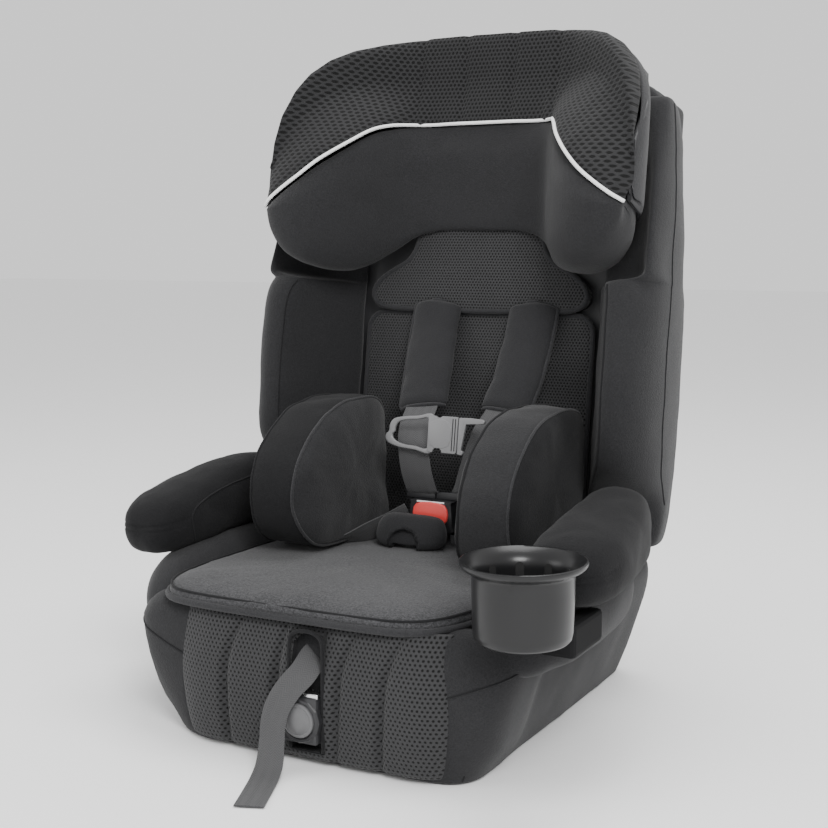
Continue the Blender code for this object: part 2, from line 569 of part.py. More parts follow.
piping_half = []
for (fx, fy), (mx, my), z in zip(HEAD_FRONT, MESH_FRONT, SEAM_Z):
    piping_half.append(Vector((fx, fy - 0.0035, z)))
piping_path = [Vector((-p.x, p.y, p.z)) for p in reversed(piping_half[1:])] + piping_half
piping = []
for i, point in enumerate(piping_path):
    along = (piping_path[min(i + 1, 12)] - piping_path[max(i - 1, 0)]).normalized()
    across = along.cross(Vector((0, 0, 1))).normalized()
    piping.append(superellipse(point, 0.0016, 0.0016, across, across.cross(along).normalized(), 2.0, 8))
loft("headrest_piping", piping, piping_white, headrest_frame)

# Headrest release: a sprung squeeze lever at the top of the carrier.
block("headrest_release", (-0.030, 0.0040, 0.6905), (0.030, 0.0110, 0.7030), shell_plastic, headrest_frame,
      bevel=0.0015)
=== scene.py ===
from math import atan2, cos, pi, radians, sin, sqrt

import bmesh
import bpy
from mathutils import Matrix, Vector, noise


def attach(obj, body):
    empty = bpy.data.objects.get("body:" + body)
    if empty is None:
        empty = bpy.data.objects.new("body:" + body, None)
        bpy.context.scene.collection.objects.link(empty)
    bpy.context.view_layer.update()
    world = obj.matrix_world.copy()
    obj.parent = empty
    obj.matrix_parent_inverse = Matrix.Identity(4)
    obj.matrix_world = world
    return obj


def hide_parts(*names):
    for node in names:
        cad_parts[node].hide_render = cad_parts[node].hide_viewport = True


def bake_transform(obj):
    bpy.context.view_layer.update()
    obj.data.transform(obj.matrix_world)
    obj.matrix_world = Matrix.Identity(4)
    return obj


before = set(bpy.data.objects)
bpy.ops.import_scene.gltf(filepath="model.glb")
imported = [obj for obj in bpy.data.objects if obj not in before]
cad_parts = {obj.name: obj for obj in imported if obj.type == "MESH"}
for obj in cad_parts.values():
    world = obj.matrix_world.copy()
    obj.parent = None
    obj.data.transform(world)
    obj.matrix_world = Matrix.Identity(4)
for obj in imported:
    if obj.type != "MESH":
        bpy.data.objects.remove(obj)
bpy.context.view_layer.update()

# The camera, the floor and three broad studio lights.
view = bpy.data.cameras.new("camera")
camera = bpy.data.objects.new("camera", view)
bpy.context.collection.objects.link(camera)
bpy.context.scene.camera = camera
view.sensor_width = 36.0
view.lens = 59.76
AZ, EL = radians(27.71), radians(7.18)
back = Vector((sin(AZ) * cos(EL), -cos(AZ) * cos(EL), sin(EL)))
camera.location = (0.6461, -1.2265, 0.4726)
camera.rotation_euler = back.to_track_quat("Z", "Y").to_euler()

floor_mesh = bpy.data.meshes.new("floor")
bm = bmesh.new()
bmesh.ops.create_grid(bm, x_segments=1, y_segments=1, size=12.0)
bm.to_mesh(floor_mesh)
bm.free()
floor = bpy.data.objects.new("floor", floor_mesh)
bpy.context.collection.objects.link(floor)
floor.location.z = -0.0006
paper = bpy.data.materials.new("paper")
paper.use_nodes = True
paper.node_tree.nodes["Principled BSDF"].inputs["Base Color"].default_value = (0.93, 0.93, 0.93, 1)
paper.node_tree.nodes["Principled BSDF"].inputs["Roughness"].default_value = 0.9
floor_mesh.materials.append(paper)

world = bpy.data.worlds.new("studio")
bpy.context.scene.world = world
world.use_nodes = True
world.node_tree.nodes["Background"].inputs["Color"].default_value = (1.0, 1.0, 1.0, 1)
world.node_tree.nodes["Background"].inputs["Strength"].default_value = 1.05


def soft_light(name, place, aim, size, power):
    data = bpy.data.lights.new(name, "AREA")
    data.shape = "SQUARE"
    data.size = size
    data.energy = power
    lamp = bpy.data.objects.new(name, data)
    bpy.context.collection.objects.link(lamp)
    lamp.location = place
    lamp.rotation_euler = (Vector(place) - Vector(aim)).to_track_quat("Z", "Y").to_euler()


soft_light("key", (1.5, -1.9, 1.9), (0.0, 0.0, 0.35), 1.0, 74.0)
soft_light("fill", (-2.0, -1.6, 1.1), (0.0, 0.0, 0.30), 1.4, 16.0)
soft_light("top", (0.2, 0.3, 2.4), (0.0, 0.0, 0.30), 1.2, 30.0)


# Base cover: charcoal knit pulled over the moulded tub and turned in under the cushion, bellied out
# ahead of the armrests, with a curved seam on each front corner and a slanting one on each side.
class Value:
    """A shader socket that takes part in arithmetic."""

    def __init__(self, tree, socket):
        self.tree = tree
        self.socket = socket

    def math(self, operation, *others, clamp=False):
        node = self.tree.nodes.new("ShaderNodeMath")
        node.operation = operation
        node.use_clamp = clamp
        for slot, item in zip(node.inputs, (self, *others)):
            if isinstance(item, Value):
                self.tree.links.new(item.socket, slot)
            else:
                slot.default_value = item
        return Value(self.tree, node.outputs[0])

    def lift(self, number):
        node = self.tree.nodes.new("ShaderNodeMath")
        node.operation = "ADD"
        node.inputs[0].default_value = number
        node.inputs[1].default_value = 0.0
        return Value(self.tree, node.outputs[0])

    def __add__(self, other):
        return self.math("ADD", other)

    def __radd__(self, other):
        return self.math("ADD", other)

    def __sub__(self, other):
        return self.math("SUBTRACT", other)

    def __rsub__(self, other):
        return self.lift(other).math("SUBTRACT", self)

    def __mul__(self, other):
        return self.math("MULTIPLY", other)

    def __rmul__(self, other):
        return self.math("MULTIPLY", other)

    def __truediv__(self, other):
        return self.math("DIVIDE", other)


class Finish:
    """A material under construction."""

    def __init__(self, name, **constants):
        self.material = bpy.data.materials.new(name)
        self.material.use_nodes = True
        self.tree = self.material.node_tree
        self.shader = self.tree.nodes["Principled BSDF"]
        for socket, value in constants.items():
            self.shader.inputs[socket.replace("_", " ")].default_value = value

    def node(self, kind, settings=None, output=0, **sockets):
        made = self.tree.nodes.new(kind)
        for key, value in (settings or {}).items():
            setattr(made, key, value)
        for key, value in sockets.items():
            numbered = key[0] == "i" and key[1:].isdigit()
            slot = made.inputs[int(key[1:]) if numbered else key.replace("_", " ")]
            if isinstance(value, Value):
                self.tree.links.new(value.socket, slot)
            else:
                slot.default_value = value
        return Value(self.tree, made.outputs[output])

    def place(self):
        return self.node("ShaderNodeTexCoord", output=3)

    def cloth_uv(self):
        return self.node("ShaderNodeUVMap", {"uv_map": "cloth"})

    def split(self, vector):
        parts = self.tree.nodes.new("ShaderNodeSeparateXYZ")
        self.tree.links.new(vector.socket, parts.inputs[0])
        return [Value(self.tree, out) for out in parts.outputs]

    def fleck(self, scale, detail=2.0, vector=None):
        return self.node("ShaderNodeTexNoise", Vector=vector or self.place(), Scale=scale, Detail=detail)

    def blend(self, amount, low, high):
        return self.node("ShaderNodeMix", {"data_type": "RGBA"}, 2, i0=amount, i6=low, i7=high)

    def feed(self, socket, value):
        self.tree.links.new(value.socket, self.shader.inputs[socket])

    def bump(self, height, strength, distance):
        self.feed("Normal", self.node("ShaderNodeBump", Height=height, Strength=strength, Distance=distance))


def knit(name, dark, light, rough=0.90, sheen=0.10, grain=1300.0, contrast=1.0):
    """Knitted cloth: fine loops with a slight heather and slow changes of shade."""
    look = Finish(name, Sheen_Weight=sheen, Sheen_Roughness=0.5, Specular_IOR_Level=0.22)
    fine = look.fleck(grain, 1.0)
    yarn = look.fleck(grain * 0.42, 2.0)
    loops = look.node("ShaderNodeTexVoronoi", Vector=look.place(), Scale=grain * 0.62)
    slow = look.fleck(7.0, 3.0)
    shade = (fine - 0.5) * 1.3 * contrast + (yarn - 0.5) * 1.1 * contrast + (slow - 0.5) * 0.6 + 0.5
    look.feed("Base Color", look.blend(shade.math("MAXIMUM", 0.0).math("MINIMUM", 1.0), (*dark, 1),
                                       (*light, 1)))
    look.feed("Roughness", slow * 0.08 + (rough - 0.04))
    look.bump(loops * 0.5 + fine * 0.5 + yarn * 0.8, 0.65, 0.0007)
    return look.material


charcoal = knit("charcoal_knit", (0.0075, 0.0075, 0.0082), (0.0215, 0.0215, 0.0230))
edge_knit = knit("edge_binding", (0.003, 0.003, 0.0035), (0.012, 0.012, 0.013), sheen=0.05, grain=1800.0)


def ring_verts(bm, points):
    made = [bm.verts.new(point) for point in points]
    for i, vert in enumerate(made):
        bm.edges.new((vert, made[(i + 1) % len(made)]))
    return made


def loft(rings, closed=False, caps=True):
    """A skin bridged from ring to ring. It carries a map in metres round and along the rings."""
    bm = bmesh.new()
    row_of = bm.verts.layers.int.new("row")
    place_of = bm.verts.layers.int.new("place")
    rows = []
    for i, ring in enumerate(rings):
        row = ring_verts(bm, ring)
        for j, vert in enumerate(row):
            vert[row_of] = i
            vert[place_of] = j
        rows.append(row)
    bm.verts.ensure_lookup_table()

    def loop_edges(row):
        return [bm.edges.get((row[j], row[(j + 1) % len(row)])) for j in range(len(row))]

    pairs = list(zip(rows, rows[1:]))
    if closed:
        pairs.append((rows[-1], rows[0]))
    for low, high in pairs:
        bmesh.ops.bridge_loops(bm, edges=loop_edges(low) + loop_edges(high))
    if caps and not closed:
        for row in (rows[0], rows[-1]):
            bmesh.ops.contextual_create(bm, geom=loop_edges(row))
    bmesh.ops.recalc_face_normals(bm, faces=bm.faces)
    count = len(rings[0])
    around = [0.0]
    middle_ring = [Vector(p) for p in rings[len(rings) // 2]]
    for j in range(count):
        around.append(around[-1] + (middle_ring[(j + 1) % count] - middle_ring[j]).length)
    along = [0.0]
    for low, high in zip(rings, rings[1:]):
        steps = [(Vector(high[j]) - Vector(low[j])).length for j in range(count)]
        along.append(along[-1] + sum(steps) / count)
    uv = bm.loops.layers.uv.new("cloth")
    for face in bm.faces:
        places = [loop.vert[place_of] for loop in face.loops]
        wraps = len(face.verts) == 4 and max(places) - min(places) > 1
        for loop, j in zip(face.loops, places):
            loop[uv].uv = (around[count if wraps and j == 0 else j], along[loop.vert[row_of]])
    return bm


def cloth_piece(name, bm, looks, levels=1, smooth=180.0):
    """A finished mesh object with its subdivision applied and its shading smooth."""
    mesh = bpy.data.meshes.new(name)
    bm.to_mesh(mesh)
    bm.free()
    for look in looks if isinstance(looks, (list, tuple)) else [looks]:
        mesh.materials.append(look)
    made = bpy.data.objects.new(name, mesh)
    bpy.context.collection.objects.link(made)
    if levels:
        rounder = made.modifiers.new("rounder", "SUBSURF")
        rounder.levels = rounder.render_levels = levels
        settle(made)
    for face in made.data.polygons:
        face.use_smooth = True
    if smooth < 180.0:
        made.data.set_sharp_from_angle(angle=radians(smooth))
    return made


def settle(obj):
    """Apply every modifier of an object to its mesh."""
    graph = bpy.context.evaluated_depsgraph_get()
    done = bpy.data.meshes.new_from_object(obj.evaluated_get(graph), preserve_all_data_layers=True,
                                           depsgraph=graph)
    obj.modifiers.clear()
    obj.data = done


def push(obj, rule):
    """Move each point of a mesh along its normal by the distance that the rule gives."""
    normals = [vert.normal.copy() for vert in obj.data.vertices]
    for vert, normal in zip(obj.data.vertices, normals):
        vert.co += normal * rule(vert.co, normal)
    obj.data.update()


def puckers(point, size, depth):
    """Slow unevenness of stuffed cloth."""
    return depth * noise.noise(Vector(point) / size)


def smooth_path(points, steps=8, closed=False):
    """Points on a Catmull-Rom curve through the given points."""
    knots = [Vector(p) for p in points]
    count = len(knots)
    path = []
    spans = count if closed else count - 1
    for i in range(spans):
        if closed:
            a, b, c, d = (knots[(i + k) % count] for k in (-1, 0, 1, 2))
        else:
            a, b, c, d = (knots[min(max(i + k, 0), count - 1)] for k in (-1, 0, 1, 2))
        for step in range(steps):
            t = step / steps
            path.append(0.5 * (2 * b + (c - a) * t + (2 * a - 5 * b + 4 * c - d) * t * t
                               + (3 * b - a - 3 * c + d) * t * t * t))
    if not closed:
        path.append(knots[-1])
    return path


def cord_trim(name, path, radius, look, closed=False, body="base", sides=8, flatten=1.0):
    """A thin sewn welt or piping that follows a path."""
    points = [Vector(p) for p in path]
    count = len(points)
    rings = []
    side = None
    for i, point in enumerate(points):
        before = points[(i - 1) % count] if closed else points[max(i - 1, 0)]
        after = points[(i + 1) % count] if closed else points[min(i + 1, count - 1)]
        along = (after - before).normalized()
        if side is None:
            side = along.orthogonal().normalized()
        side = (side - along * side.dot(along)).normalized()
        up = along.cross(side)
        rings.append([point + side * radius * cos(2 * pi * k / sides)
                      + up * radius * flatten * sin(2 * pi * k / sides) for k in range(sides)])
    made = cloth_piece(name, loft(rings, closed=closed), look, levels=0)
    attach(made, body)
    return made


def plan_ring(half_front, half_rear, front, rear, corner, z, steps=6, bow=0.0):
    """A plan outline with rounded corners whose long sides bow outwards a little."""
    points = []
    centres = ((half_rear - corner, rear - corner, 0.0), (-half_rear + corner, rear - corner, 90.0),
               (-half_front + corner, front + corner, 180.0), (half_front - corner, front + corner, 270.0))
    for x, y, start in centres:
        for step in range(steps + 1):
            angle = radians(start + 90.0 * step / steps)
            points.append(Vector((x + corner * cos(angle), y + corner * sin(angle), z)))
    full = []
    for point, following in zip(points, points[1:] + points[:1]):
        full.append(point)
        gap = (following - point).length
        parts = int(gap / 0.030)
        for k in range(1, parts):
            full.append(point.lerp(following, k / parts))
    for point in full:
        point.x += bow * (1 if point.x > 0 else -1) * (1 - min(1.0, abs(point.y) / 0.2) ** 2)
    return full


COVER_LEVELS = ((0.0006, 0.1535, 0.197), (0.004, 0.1555, 0.199), (0.030, 0.1660, 0.2005),
                (0.060, 0.1760, 0.2020),
                (0.090, 0.1850, 0.2030), (0.112, 0.1895, 0.2010), (0.126, 0.1890, 0.196), (0.134, 0.184, 0.189),
                (0.137, 0.174, 0.178), (0.135, 0.162, 0.166))
cover_rings = [plan_ring(half, half + 0.0055, -front, 0.206, 0.030, z, bow=0.002)
               for z, half, front in COVER_LEVELS]
lining = [plan_ring(half - 0.003, half + 0.0025, -front + 0.003, 0.203, 0.027, z, bow=0.002)
          for z, half, front in reversed(COVER_LEVELS[:-1])]


def even(ring, count):
    """The same outline with its points spread evenly, starting from its first point."""
    lengths = [0.0]
    for a, b in zip(ring, ring[1:] + ring[:1]):
        lengths.append(lengths[-1] + (b - a).length)
    spread = []
    j = 0
    for k in range(count):
        want = lengths[-1] * k / count
        while lengths[j + 1] < want:
            j += 1
        share = (want - lengths[j]) / max(lengths[j + 1] - lengths[j], 1e-9)
        spread.append(ring[j].lerp(ring[(j + 1) % len(ring)], share))
    return spread


base_cover = cloth_piece("base_cover_cloth",
                         loft([even(ring, 96) for ring in cover_rings + lining], closed=True),
                         charcoal, levels=1)


def belly(point):
    """How far the padded cover stands out on the sides, ahead of the armrests."""
    ahead = min(max((-0.085 - point.y) / 0.060, 0.0), 1.0)
    up = min(max(point.z / 0.030, 0.0), 1.0) * min(max((0.140 - point.z) / 0.030, 0.0), 1.0)
    return ahead * ahead * (3 - 2 * ahead) * (0.35 + 0.65 * up) * (0.0175 if point.x < 0 else 0.0110)


for vert in base_cover.data.vertices:
    side_share = min(max((abs(vert.co.x) - 0.135) / 0.030, 0.0), 1.0)
    vert.co.x += (1 if vert.co.x > 0 else -1) * belly(vert.co) * side_share
base_cover.data.update()
push(base_cover, lambda p, n: puckers(p, 0.030, 0.0012) if abs(n.z) < 0.8 else 0.0)
for word, side in (("left", 1), ("right", -1)):
    near = []
    for point in smooth_path([(side * 0.128, -0.235, 0.066), (side * 0.150, -0.235, 0.080),
                              (side * 0.190, -0.220, 0.098),
                              (side * 0.222, -0.190, 0.112), (side * 0.235, -0.165, 0.119)], 8):
        hit, spot, normal, _ = base_cover.ray_cast(point, Vector((-side * 0.45, 1.0, 0.0)).normalized())
        if hit:
            near.append(spot + normal * 0.0001)
    cord_trim("base_side_seam_" + word, near, 0.0010, edge_knit)
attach(base_cover, "base")
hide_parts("base_cover")

corner_seam = ((0.170, -0.150, 0.1335), (0.181, -0.170, 0.122), (0.184, -0.181, 0.104), (0.1785, -0.184, 0.082),
               (0.166, -0.1875, 0.058), (0.156, -0.1885, 0.030), (0.148, -0.187, 0.004))
for side, word in ((1, "left"), (-1, "right")):
    path = [Vector((side * p.x, p.y, p.z)) for p in smooth_path(corner_seam, 8)]
    near = []
    for point in path:
        hit, spot, normal, _ = base_cover.closest_point_on_mesh(point)
        near.append(spot + normal * 0.0002)
    cord_trim("base_corner_seam_" + word, near, 0.0010, edge_knit)


# Front panel: coarse spacer mesh over foam, sewn down in upright channels, with a bound slot where
# the adjuster and its strap come through.
def spacer(name, pitch, hole, face, gap, sheen=0.08):
    """Spacer mesh: rows of small holes, each row set half a pitch over from the last; the holes are painted
    near-black as their shade.
    """
    look = Finish(name, Sheen_Weight=sheen, Sheen_Roughness=0.5, Specular_IOR_Level=0.3)
    u, v, _ = look.split(look.cloth_uv())
    wobble = (look.fleck(160.0, 1.0) - 0.5) * 0.35
    a = (u / pitch + wobble * 0.4).math("FRACT") - 0.5
    b = (v / (pitch * 1.732) + wobble * 0.2).math("FRACT") - 0.5
    c = (u / pitch + wobble * 0.4 + 0.5).math("FRACT") - 0.5
    d = (v / (pitch * 1.732) + wobble * 0.2 + 0.5).math("FRACT") - 0.5
    first = (a * a + b * b * 3.0).math("SQRT")
    second = (c * c + d * d * 3.0).math("SQRT")
    near = first.math("MINIMUM", second)
    face_vs_hole_shade = look.node("ShaderNodeMapRange", {"interpolation_type": "SMOOTHSTEP"}, Value=near,
                          From_Min=hole - 0.10, From_Max=hole + 0.10, To_Min=0.0, To_Max=1.0)
    slow = look.fleck(9.0, 3.0)
    shade = face_vs_hole_shade * (slow * 0.35 + 0.72)
    # Colour: the face tone on the cloth, and the near-black gap colour in the holes, which is painted shade.
    look.feed("Base Color", look.blend(shade.math("MINIMUM", 1.0), (*gap, 1), (*face, 1)))
    look.feed("Roughness", 0.95 - face_vs_hole_shade * 0.12)
    look.bump(face_vs_hole_shade + look.fleck(1500.0, 1.0) * 0.25, 0.8, 0.0011)
    return look.material


coarse_mesh = spacer("coarse_spacer_mesh", 0.0045, 0.26, (0.030, 0.030, 0.0315), (0.0012, 0.0012, 0.0012))
CHANNELS = ((-0.066, -0.086, -0.084), (-0.018, -0.029, -0.032), (0.054, 0.036, 0.031), (0.100, 0.081, 0.077))


def channel_x(lines, z, top, bottom=0.0):
    """Where each channel runs at a height, from its places at the top, the middle and the bottom."""
    share = min(max((top - z) / (top - bottom), 0.0), 1.0)
    found = []
    for high, mid, low in lines:
        t = share * 2
        found.append(high + (mid - high) * t * (2 - t) if share < 0.5 else mid + (low - mid) * (t - 1))
    return found


def panel_half(z):
    share = z / 0.134
    return 0.1335 + 0.020 * sin(min(share * 1.1, 1.0) * pi * 0.62) - 0.012 * max(share - 0.80, 0.0) * 5


bm = bmesh.new()
bmesh.ops.create_grid(bm, x_segments=150, y_segments=66, size=1.0)
for vert in list(bm.verts):
    v = (vert.co.y + 1) / 2
    z = 0.0035 + v * 0.1315
    half = panel_half(z)
    x = vert.co.x * half
    edge = 1 - abs(vert.co.x)
    front = 0.2015 + 0.0125 * sin(pi * min(v * 0.92 + 0.12, 1.0)) ** 0.7
    lift = min(edge / 0.10, 1.0)
    lift = sqrt(max(lift * (2 - lift), 0.0))
    curl = min((1 - v) / 0.05, v / 0.06, 1.0)
    curl = sqrt(max(curl * (2 - curl), 0.0))
    puff = 1.0
    for line in channel_x(CHANNELS, z, 0.134):
        gap = abs(x - line) / 0.0075
        puff -= 0.80 * max(0.0, 1 - gap) ** 1.5
    wrap = max(0.0, abs(x) - 0.100) ** 2 * 7.0
    vert.co = Vector((x, -(0.1990 + (front - 0.1975) * lift * curl * (0.40 + 0.60 * puff)) + wrap
                      + 0.0012 * noise.noise(Vector((x, z, 0.3)) * 28), z))
slot_faces = [face for face in bm.faces
              if -0.0125 < face.calc_center_median().x < 0.0215 and 0.014 < face.calc_center_median().z < 0.124
              and not (face.calc_center_median().z > 0.113
                       and abs(face.calc_center_median().x - 0.0045)
                       > 0.017 - (face.calc_center_median().z - 0.113))]
bmesh.ops.delete(bm, geom=slot_faces, context="FACES")
uv = bm.loops.layers.uv.new("cloth")
for face in bm.faces:
    for loop in face.loops:
        loop[uv].uv = (loop.vert.co.x, loop.vert.co.z)
front_panel = cloth_piece("front_panel_mesh", bm, coarse_mesh, levels=0)
wall = front_panel.modifiers.new("wall", "SOLIDIFY")
wall.thickness = 0.0022
wall.offset = -1.0
settle(front_panel)
if front_panel.data.polygons[0].normal.y > 0:
    front_panel.data.flip_normals()
for face in front_panel.data.polygons:
    face.use_smooth = True
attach(front_panel, "base")
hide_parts("front_mesh_panel")


slot_edge = [(-0.0130, 0.016), (-0.0130, 0.060), (-0.0130, 0.110), (-0.0090, 0.1225), (0.0045, 0.1262),
             (0.0180, 0.1225), (0.0222, 0.110), (0.0222, 0.060), (0.0222, 0.016)]
edge_path = [Vector((p.x, -0.2135 - 0.001 * sin(pi * min(p.y / 0.125, 1.0)), p.y))
             for p in smooth_path([(x, z, 0.0) for x, z in slot_edge], 6)]
cord_trim("front_slot_binding", edge_path, 0.0019, edge_knit)
bm = bmesh.new()
bmesh.ops.create_cube(bm, size=1.0)
bmesh.ops.delete(bm, geom=[f for f in bm.faces if f.normal.y < -0.5], context="FACES_ONLY")
for vert in bm.verts:
    vert.co = Vector((0.0046 + vert.co.x * 0.0362, -0.2035 + vert.co.y * 0.0185, 0.0695 + vert.co.z * 0.1100))
bmesh.ops.solidify(bm, geom=bm.faces[:], thickness=0.0008)
bmesh.ops.recalc_face_normals(bm, faces=bm.faces)
lining_piece = cloth_piece("front_slot_lining", bm, edge_knit, levels=0, smooth=30.0)
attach(lining_piece, "base")


# Seat cushion: a quilted pad of grey heather knit with a bound edge.
heather = knit("heather_knit_cloth", (0.010, 0.010, 0.011), (0.056, 0.056, 0.059), sheen=0.14, contrast=1.35,
               grain=1050.0)
CUSHION_RINGS = ((0.0010, 0.020), (0.0014, 0.0060), (0.0036, 0.0012), (0.0080, 0.0), (0.0122, 0.0014),
                 (0.0150, 0.0070), (0.0170, 0.018), (0.0180, 0.040), (0.0186, 0.075), (0.0186, 0.120))
CUSHION_EDGE = ((0.152, 0.110), (0.140, 0.118), (0.0, 0.118), (-0.150, 0.118), (-0.165, 0.108), (-0.174, 0.060),
                (-0.178, 0.0), (-0.180, -0.070), (-0.1795, -0.125), (-0.176, -0.160), (-0.168, -0.186),
                (-0.150, -0.2025), (-0.115, -0.2085), (-0.060, -0.2100), (0.0, -0.2100), (0.055, -0.2095),
                (0.095, -0.2060), (0.122, -0.1930), (0.139, -0.1680), (0.147, -0.1300), (0.151, -0.080),
                (0.153, 0.0), (0.154, 0.070))
edge_curve = smooth_path([(x, y, 0.0) for x, y in CUSHION_EDGE], 6, closed=True)


def cushion_ring(inset, z):
    """The cushion's outline drawn in by a distance, at a height."""
    kept = []
    for i, point in enumerate(edge_curve):
        along = (edge_curve[(i + 1) % len(edge_curve)] - edge_curve[i - 1]).normalized()
        inner = point + Vector((along.y, -along.x, 0.0)) * inset * (1 if inset < 0.03 else 0)
        if inset >= 0.03:
            share = 1 - inset / 0.155
            inner = Vector((-0.012 + (point.x + 0.012) * share, -0.045 + (point.y + 0.045) * share, 0.0))
        kept.append(Vector((inner.x, inner.y, z)))
    return even(kept, 132)


if (cushion_ring(0.01, 0.0)[0] - cushion_ring(0.0,
                                              0.0)[0]).dot(Vector((-0.012, -0.045, 0)) - edge_curve[0]) < 0:
    edge_curve.reverse()
rings = [cushion_ring(inset, 0.1340 + rise) for rise, inset in CUSHION_RINGS]
cushion = cloth_piece("seat_cushion_pad", loft(rings), heather, levels=1)


def cushion_shape(point, normal):
    rise = 0.0
    if normal.z > 0.3:
        across = 1 - min(abs(point.x) / 0.150, 1.0) ** 2
        rise = 0.0016 * across + puckers(point, 0.045, 0.0012) + puckers(point, 0.016, 0.0005)
    return rise


push(cushion, cushion_shape)
for vert in cushion.data.vertices:
    if vert.co.y < -0.150:
        t = (-0.150 - vert.co.y) / 0.06
        vert.co.z -= 0.0045 * t * t * (1.0 if vert.co.z > 0.138 else 0.6)
        vert.co.z = max(vert.co.z, 0.1305)
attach(cushion, "base")
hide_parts("seat_cushion")
tape_knit = knit("binding_tape", (0.010, 0.010, 0.011), (0.030, 0.030, 0.032), grain=1500.0)
for rise, inset, name, radius in ((0.0034, 0.0000, "cushion_lower_binding", 0.0036),
                                  (0.0138, 0.0030, "cushion_upper_welt", 0.0013)):
    outline = cushion_ring(inset - 0.0003, 0.1340 + rise)
    for point in outline:
        if point.y < -0.150:
            t = (-0.150 - point.y) / 0.06
            point.z -= 0.0045 * t * t * (1.0 if rise > 0.01 else 0.6)
    cord_trim(name, outline, radius, tape_knit if rise < 0.01 else edge_knit, closed=True)


# Armrests: black knit sleeves over foam on the moulded frames, closed by two sewn lines at the tip and
# a panel seam on the inner side. The left sleeve is wider, to carry over the cup holder's bracket.
black_knit = knit("black_knit", (0.0025, 0.0025, 0.003), (0.0088, 0.0088, 0.0096), sheen=0.04)
for side, word in ((1, "left"), (-1, "right")):
    rings = []
    stations = ((0.0520, 0.212, 0.203, 0.019, 0.028), (0.0510, 0.2125, 0.203, 0.022, 0.033),
                (0.0300, 0.218, 0.202, 0.029, 0.039), (0.0000, 0.223, 0.200, 0.032, 0.0390),
                (-0.030, 0.2255, 0.1975, 0.034, 0.038), (-0.060, 0.2275, 0.194, 0.0355, 0.0360),
                (-0.088, 0.229, 0.191, 0.0365, 0.0345), (-0.112, 0.2295, 0.188, 0.0360, 0.0325),
                (-0.132, 0.229, 0.186, 0.0330, 0.0300), (-0.146, 0.2285, 0.184, 0.0270, 0.0250),
                (-0.154, 0.228, 0.183, 0.0175, 0.0165), (-0.1570, 0.228, 0.1825, 0.0070, 0.0065))
    for y, x, z, wide, high in stations:
        if side > 0:
            x, wide, z = x - 0.0075, wide * 1.22, z - 0.004 * min(max((y + 0.13) / 0.10, 0.0), 1.0)
        ring = []
        for k in range(28):
            angle = 2 * pi * k / 28
            c, s = cos(angle), sin(angle)
            power = 2 / 2.7
            u = wide * abs(c) ** power * (1 if c >= 0 else -1)
            v = high * abs(s) ** power * (1 if s >= 0 else -1)
            ring.append(Vector((side * (x + u), y, z + v)))
        rings.append(ring)
    arm = cloth_piece("armrest_sleeve_" + word, loft(rings), black_knit, levels=2)

    def arm_shape(point, normal):
        """Two sewn lines pressed across the nose, on a slowly uneven surface."""
        dent = 0.0
        for line in (0.1890, 0.1835):
            reach = 1.0 if point.y < -0.118 else 0.0
            dent += reach * max(0.0, 1 - abs(point.z - line - 0.10 * (point.y + 0.150)) / 0.0016)
        return puckers(point, 0.028, 0.0014) + puckers(point, 0.011, 0.0005) - 0.0012 * min(dent, 1.0)

    push(arm, arm_shape)
    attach(arm, "base")
    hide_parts("armrest_pad_" + word)
    panel = smooth_path([(side * 0.150, 0.020, 0.222), (side * 0.150, -0.050, 0.216),
                         (side * 0.150, -0.098, 0.205),
                         (side * 0.150, -0.112, 0.195), (side * 0.150, -0.112, 0.183),
                         (side * 0.150, -0.104, 0.166)], 6)
    near = []
    for point in panel:
        hit, spot, normal, _ = arm.ray_cast(point, Vector((side, 0, 0)))
        if hit:
            near.append(spot + normal * 0.0002)
    cord_trim("armrest_panel_seam_" + word, near, 0.0009, edge_knit)

    # Below each armrest the padded base cover rises to meet the sleeve and hides the moulded frame.
    rings = []
    for y, x, z, wide, high in ((0.0600, 0.200, 0.134, 0.010, 0.016), (0.0560, 0.202, 0.134, 0.018, 0.026),
                                (0.0300, 0.205, 0.133, 0.0235, 0.033), (-0.030, 0.2065, 0.132, 0.0260, 0.0340),
                                (-0.080, 0.2060, 0.131, 0.0265, 0.0330),
                                (-0.120, 0.2035, 0.129, 0.0255, 0.0310),
                                (-0.148, 0.1985, 0.125, 0.0235, 0.0275),
                                (-0.168, 0.1920, 0.120, 0.0195, 0.0220),
                                (-0.182, 0.1860, 0.116, 0.0130, 0.0140),
                                (-0.188, 0.1830, 0.114, 0.0050, 0.0055)):
        ring = []
        for k in range(24):
            c, s = cos(2 * pi * k / 24), sin(2 * pi * k / 24)
            ring.append(Vector((side * (x + wide * abs(c) ** 0.80 * (1 if c >= 0 else -1)), y,
                                z + high * abs(s) ** 0.80 * (1 if s >= 0 else -1))))
        rings.append(ring)
    skirt = cloth_piece("armrest_skirt_" + word, loft(rings), charcoal, levels=2)
    push(skirt, lambda p, n: puckers(p, 0.030, 0.0014))
    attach(skirt, "base")
    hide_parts("armrest_frame_" + word)


# Back cover: charcoal knit stretched over the moulded back, wrapped round its edges.
LEAN = radians(8.0)


def lean(point):
    """A point of the upright back, turned to where the leaning back holds it."""
    x, y, z = point
    return Vector((x, 0.100 + y * cos(LEAN) + z * sin(LEAN), z * cos(LEAN) - y * sin(LEAN)))


def back_outline(grow):
    half, low, high = 0.200 + grow, 0.150 - grow, 0.650 + grow
    points = plan_ring(half, half - 0.006, low, high, 0.052, 0.0)
    return [Vector((p.x, 0.0, p.y)) for p in points]


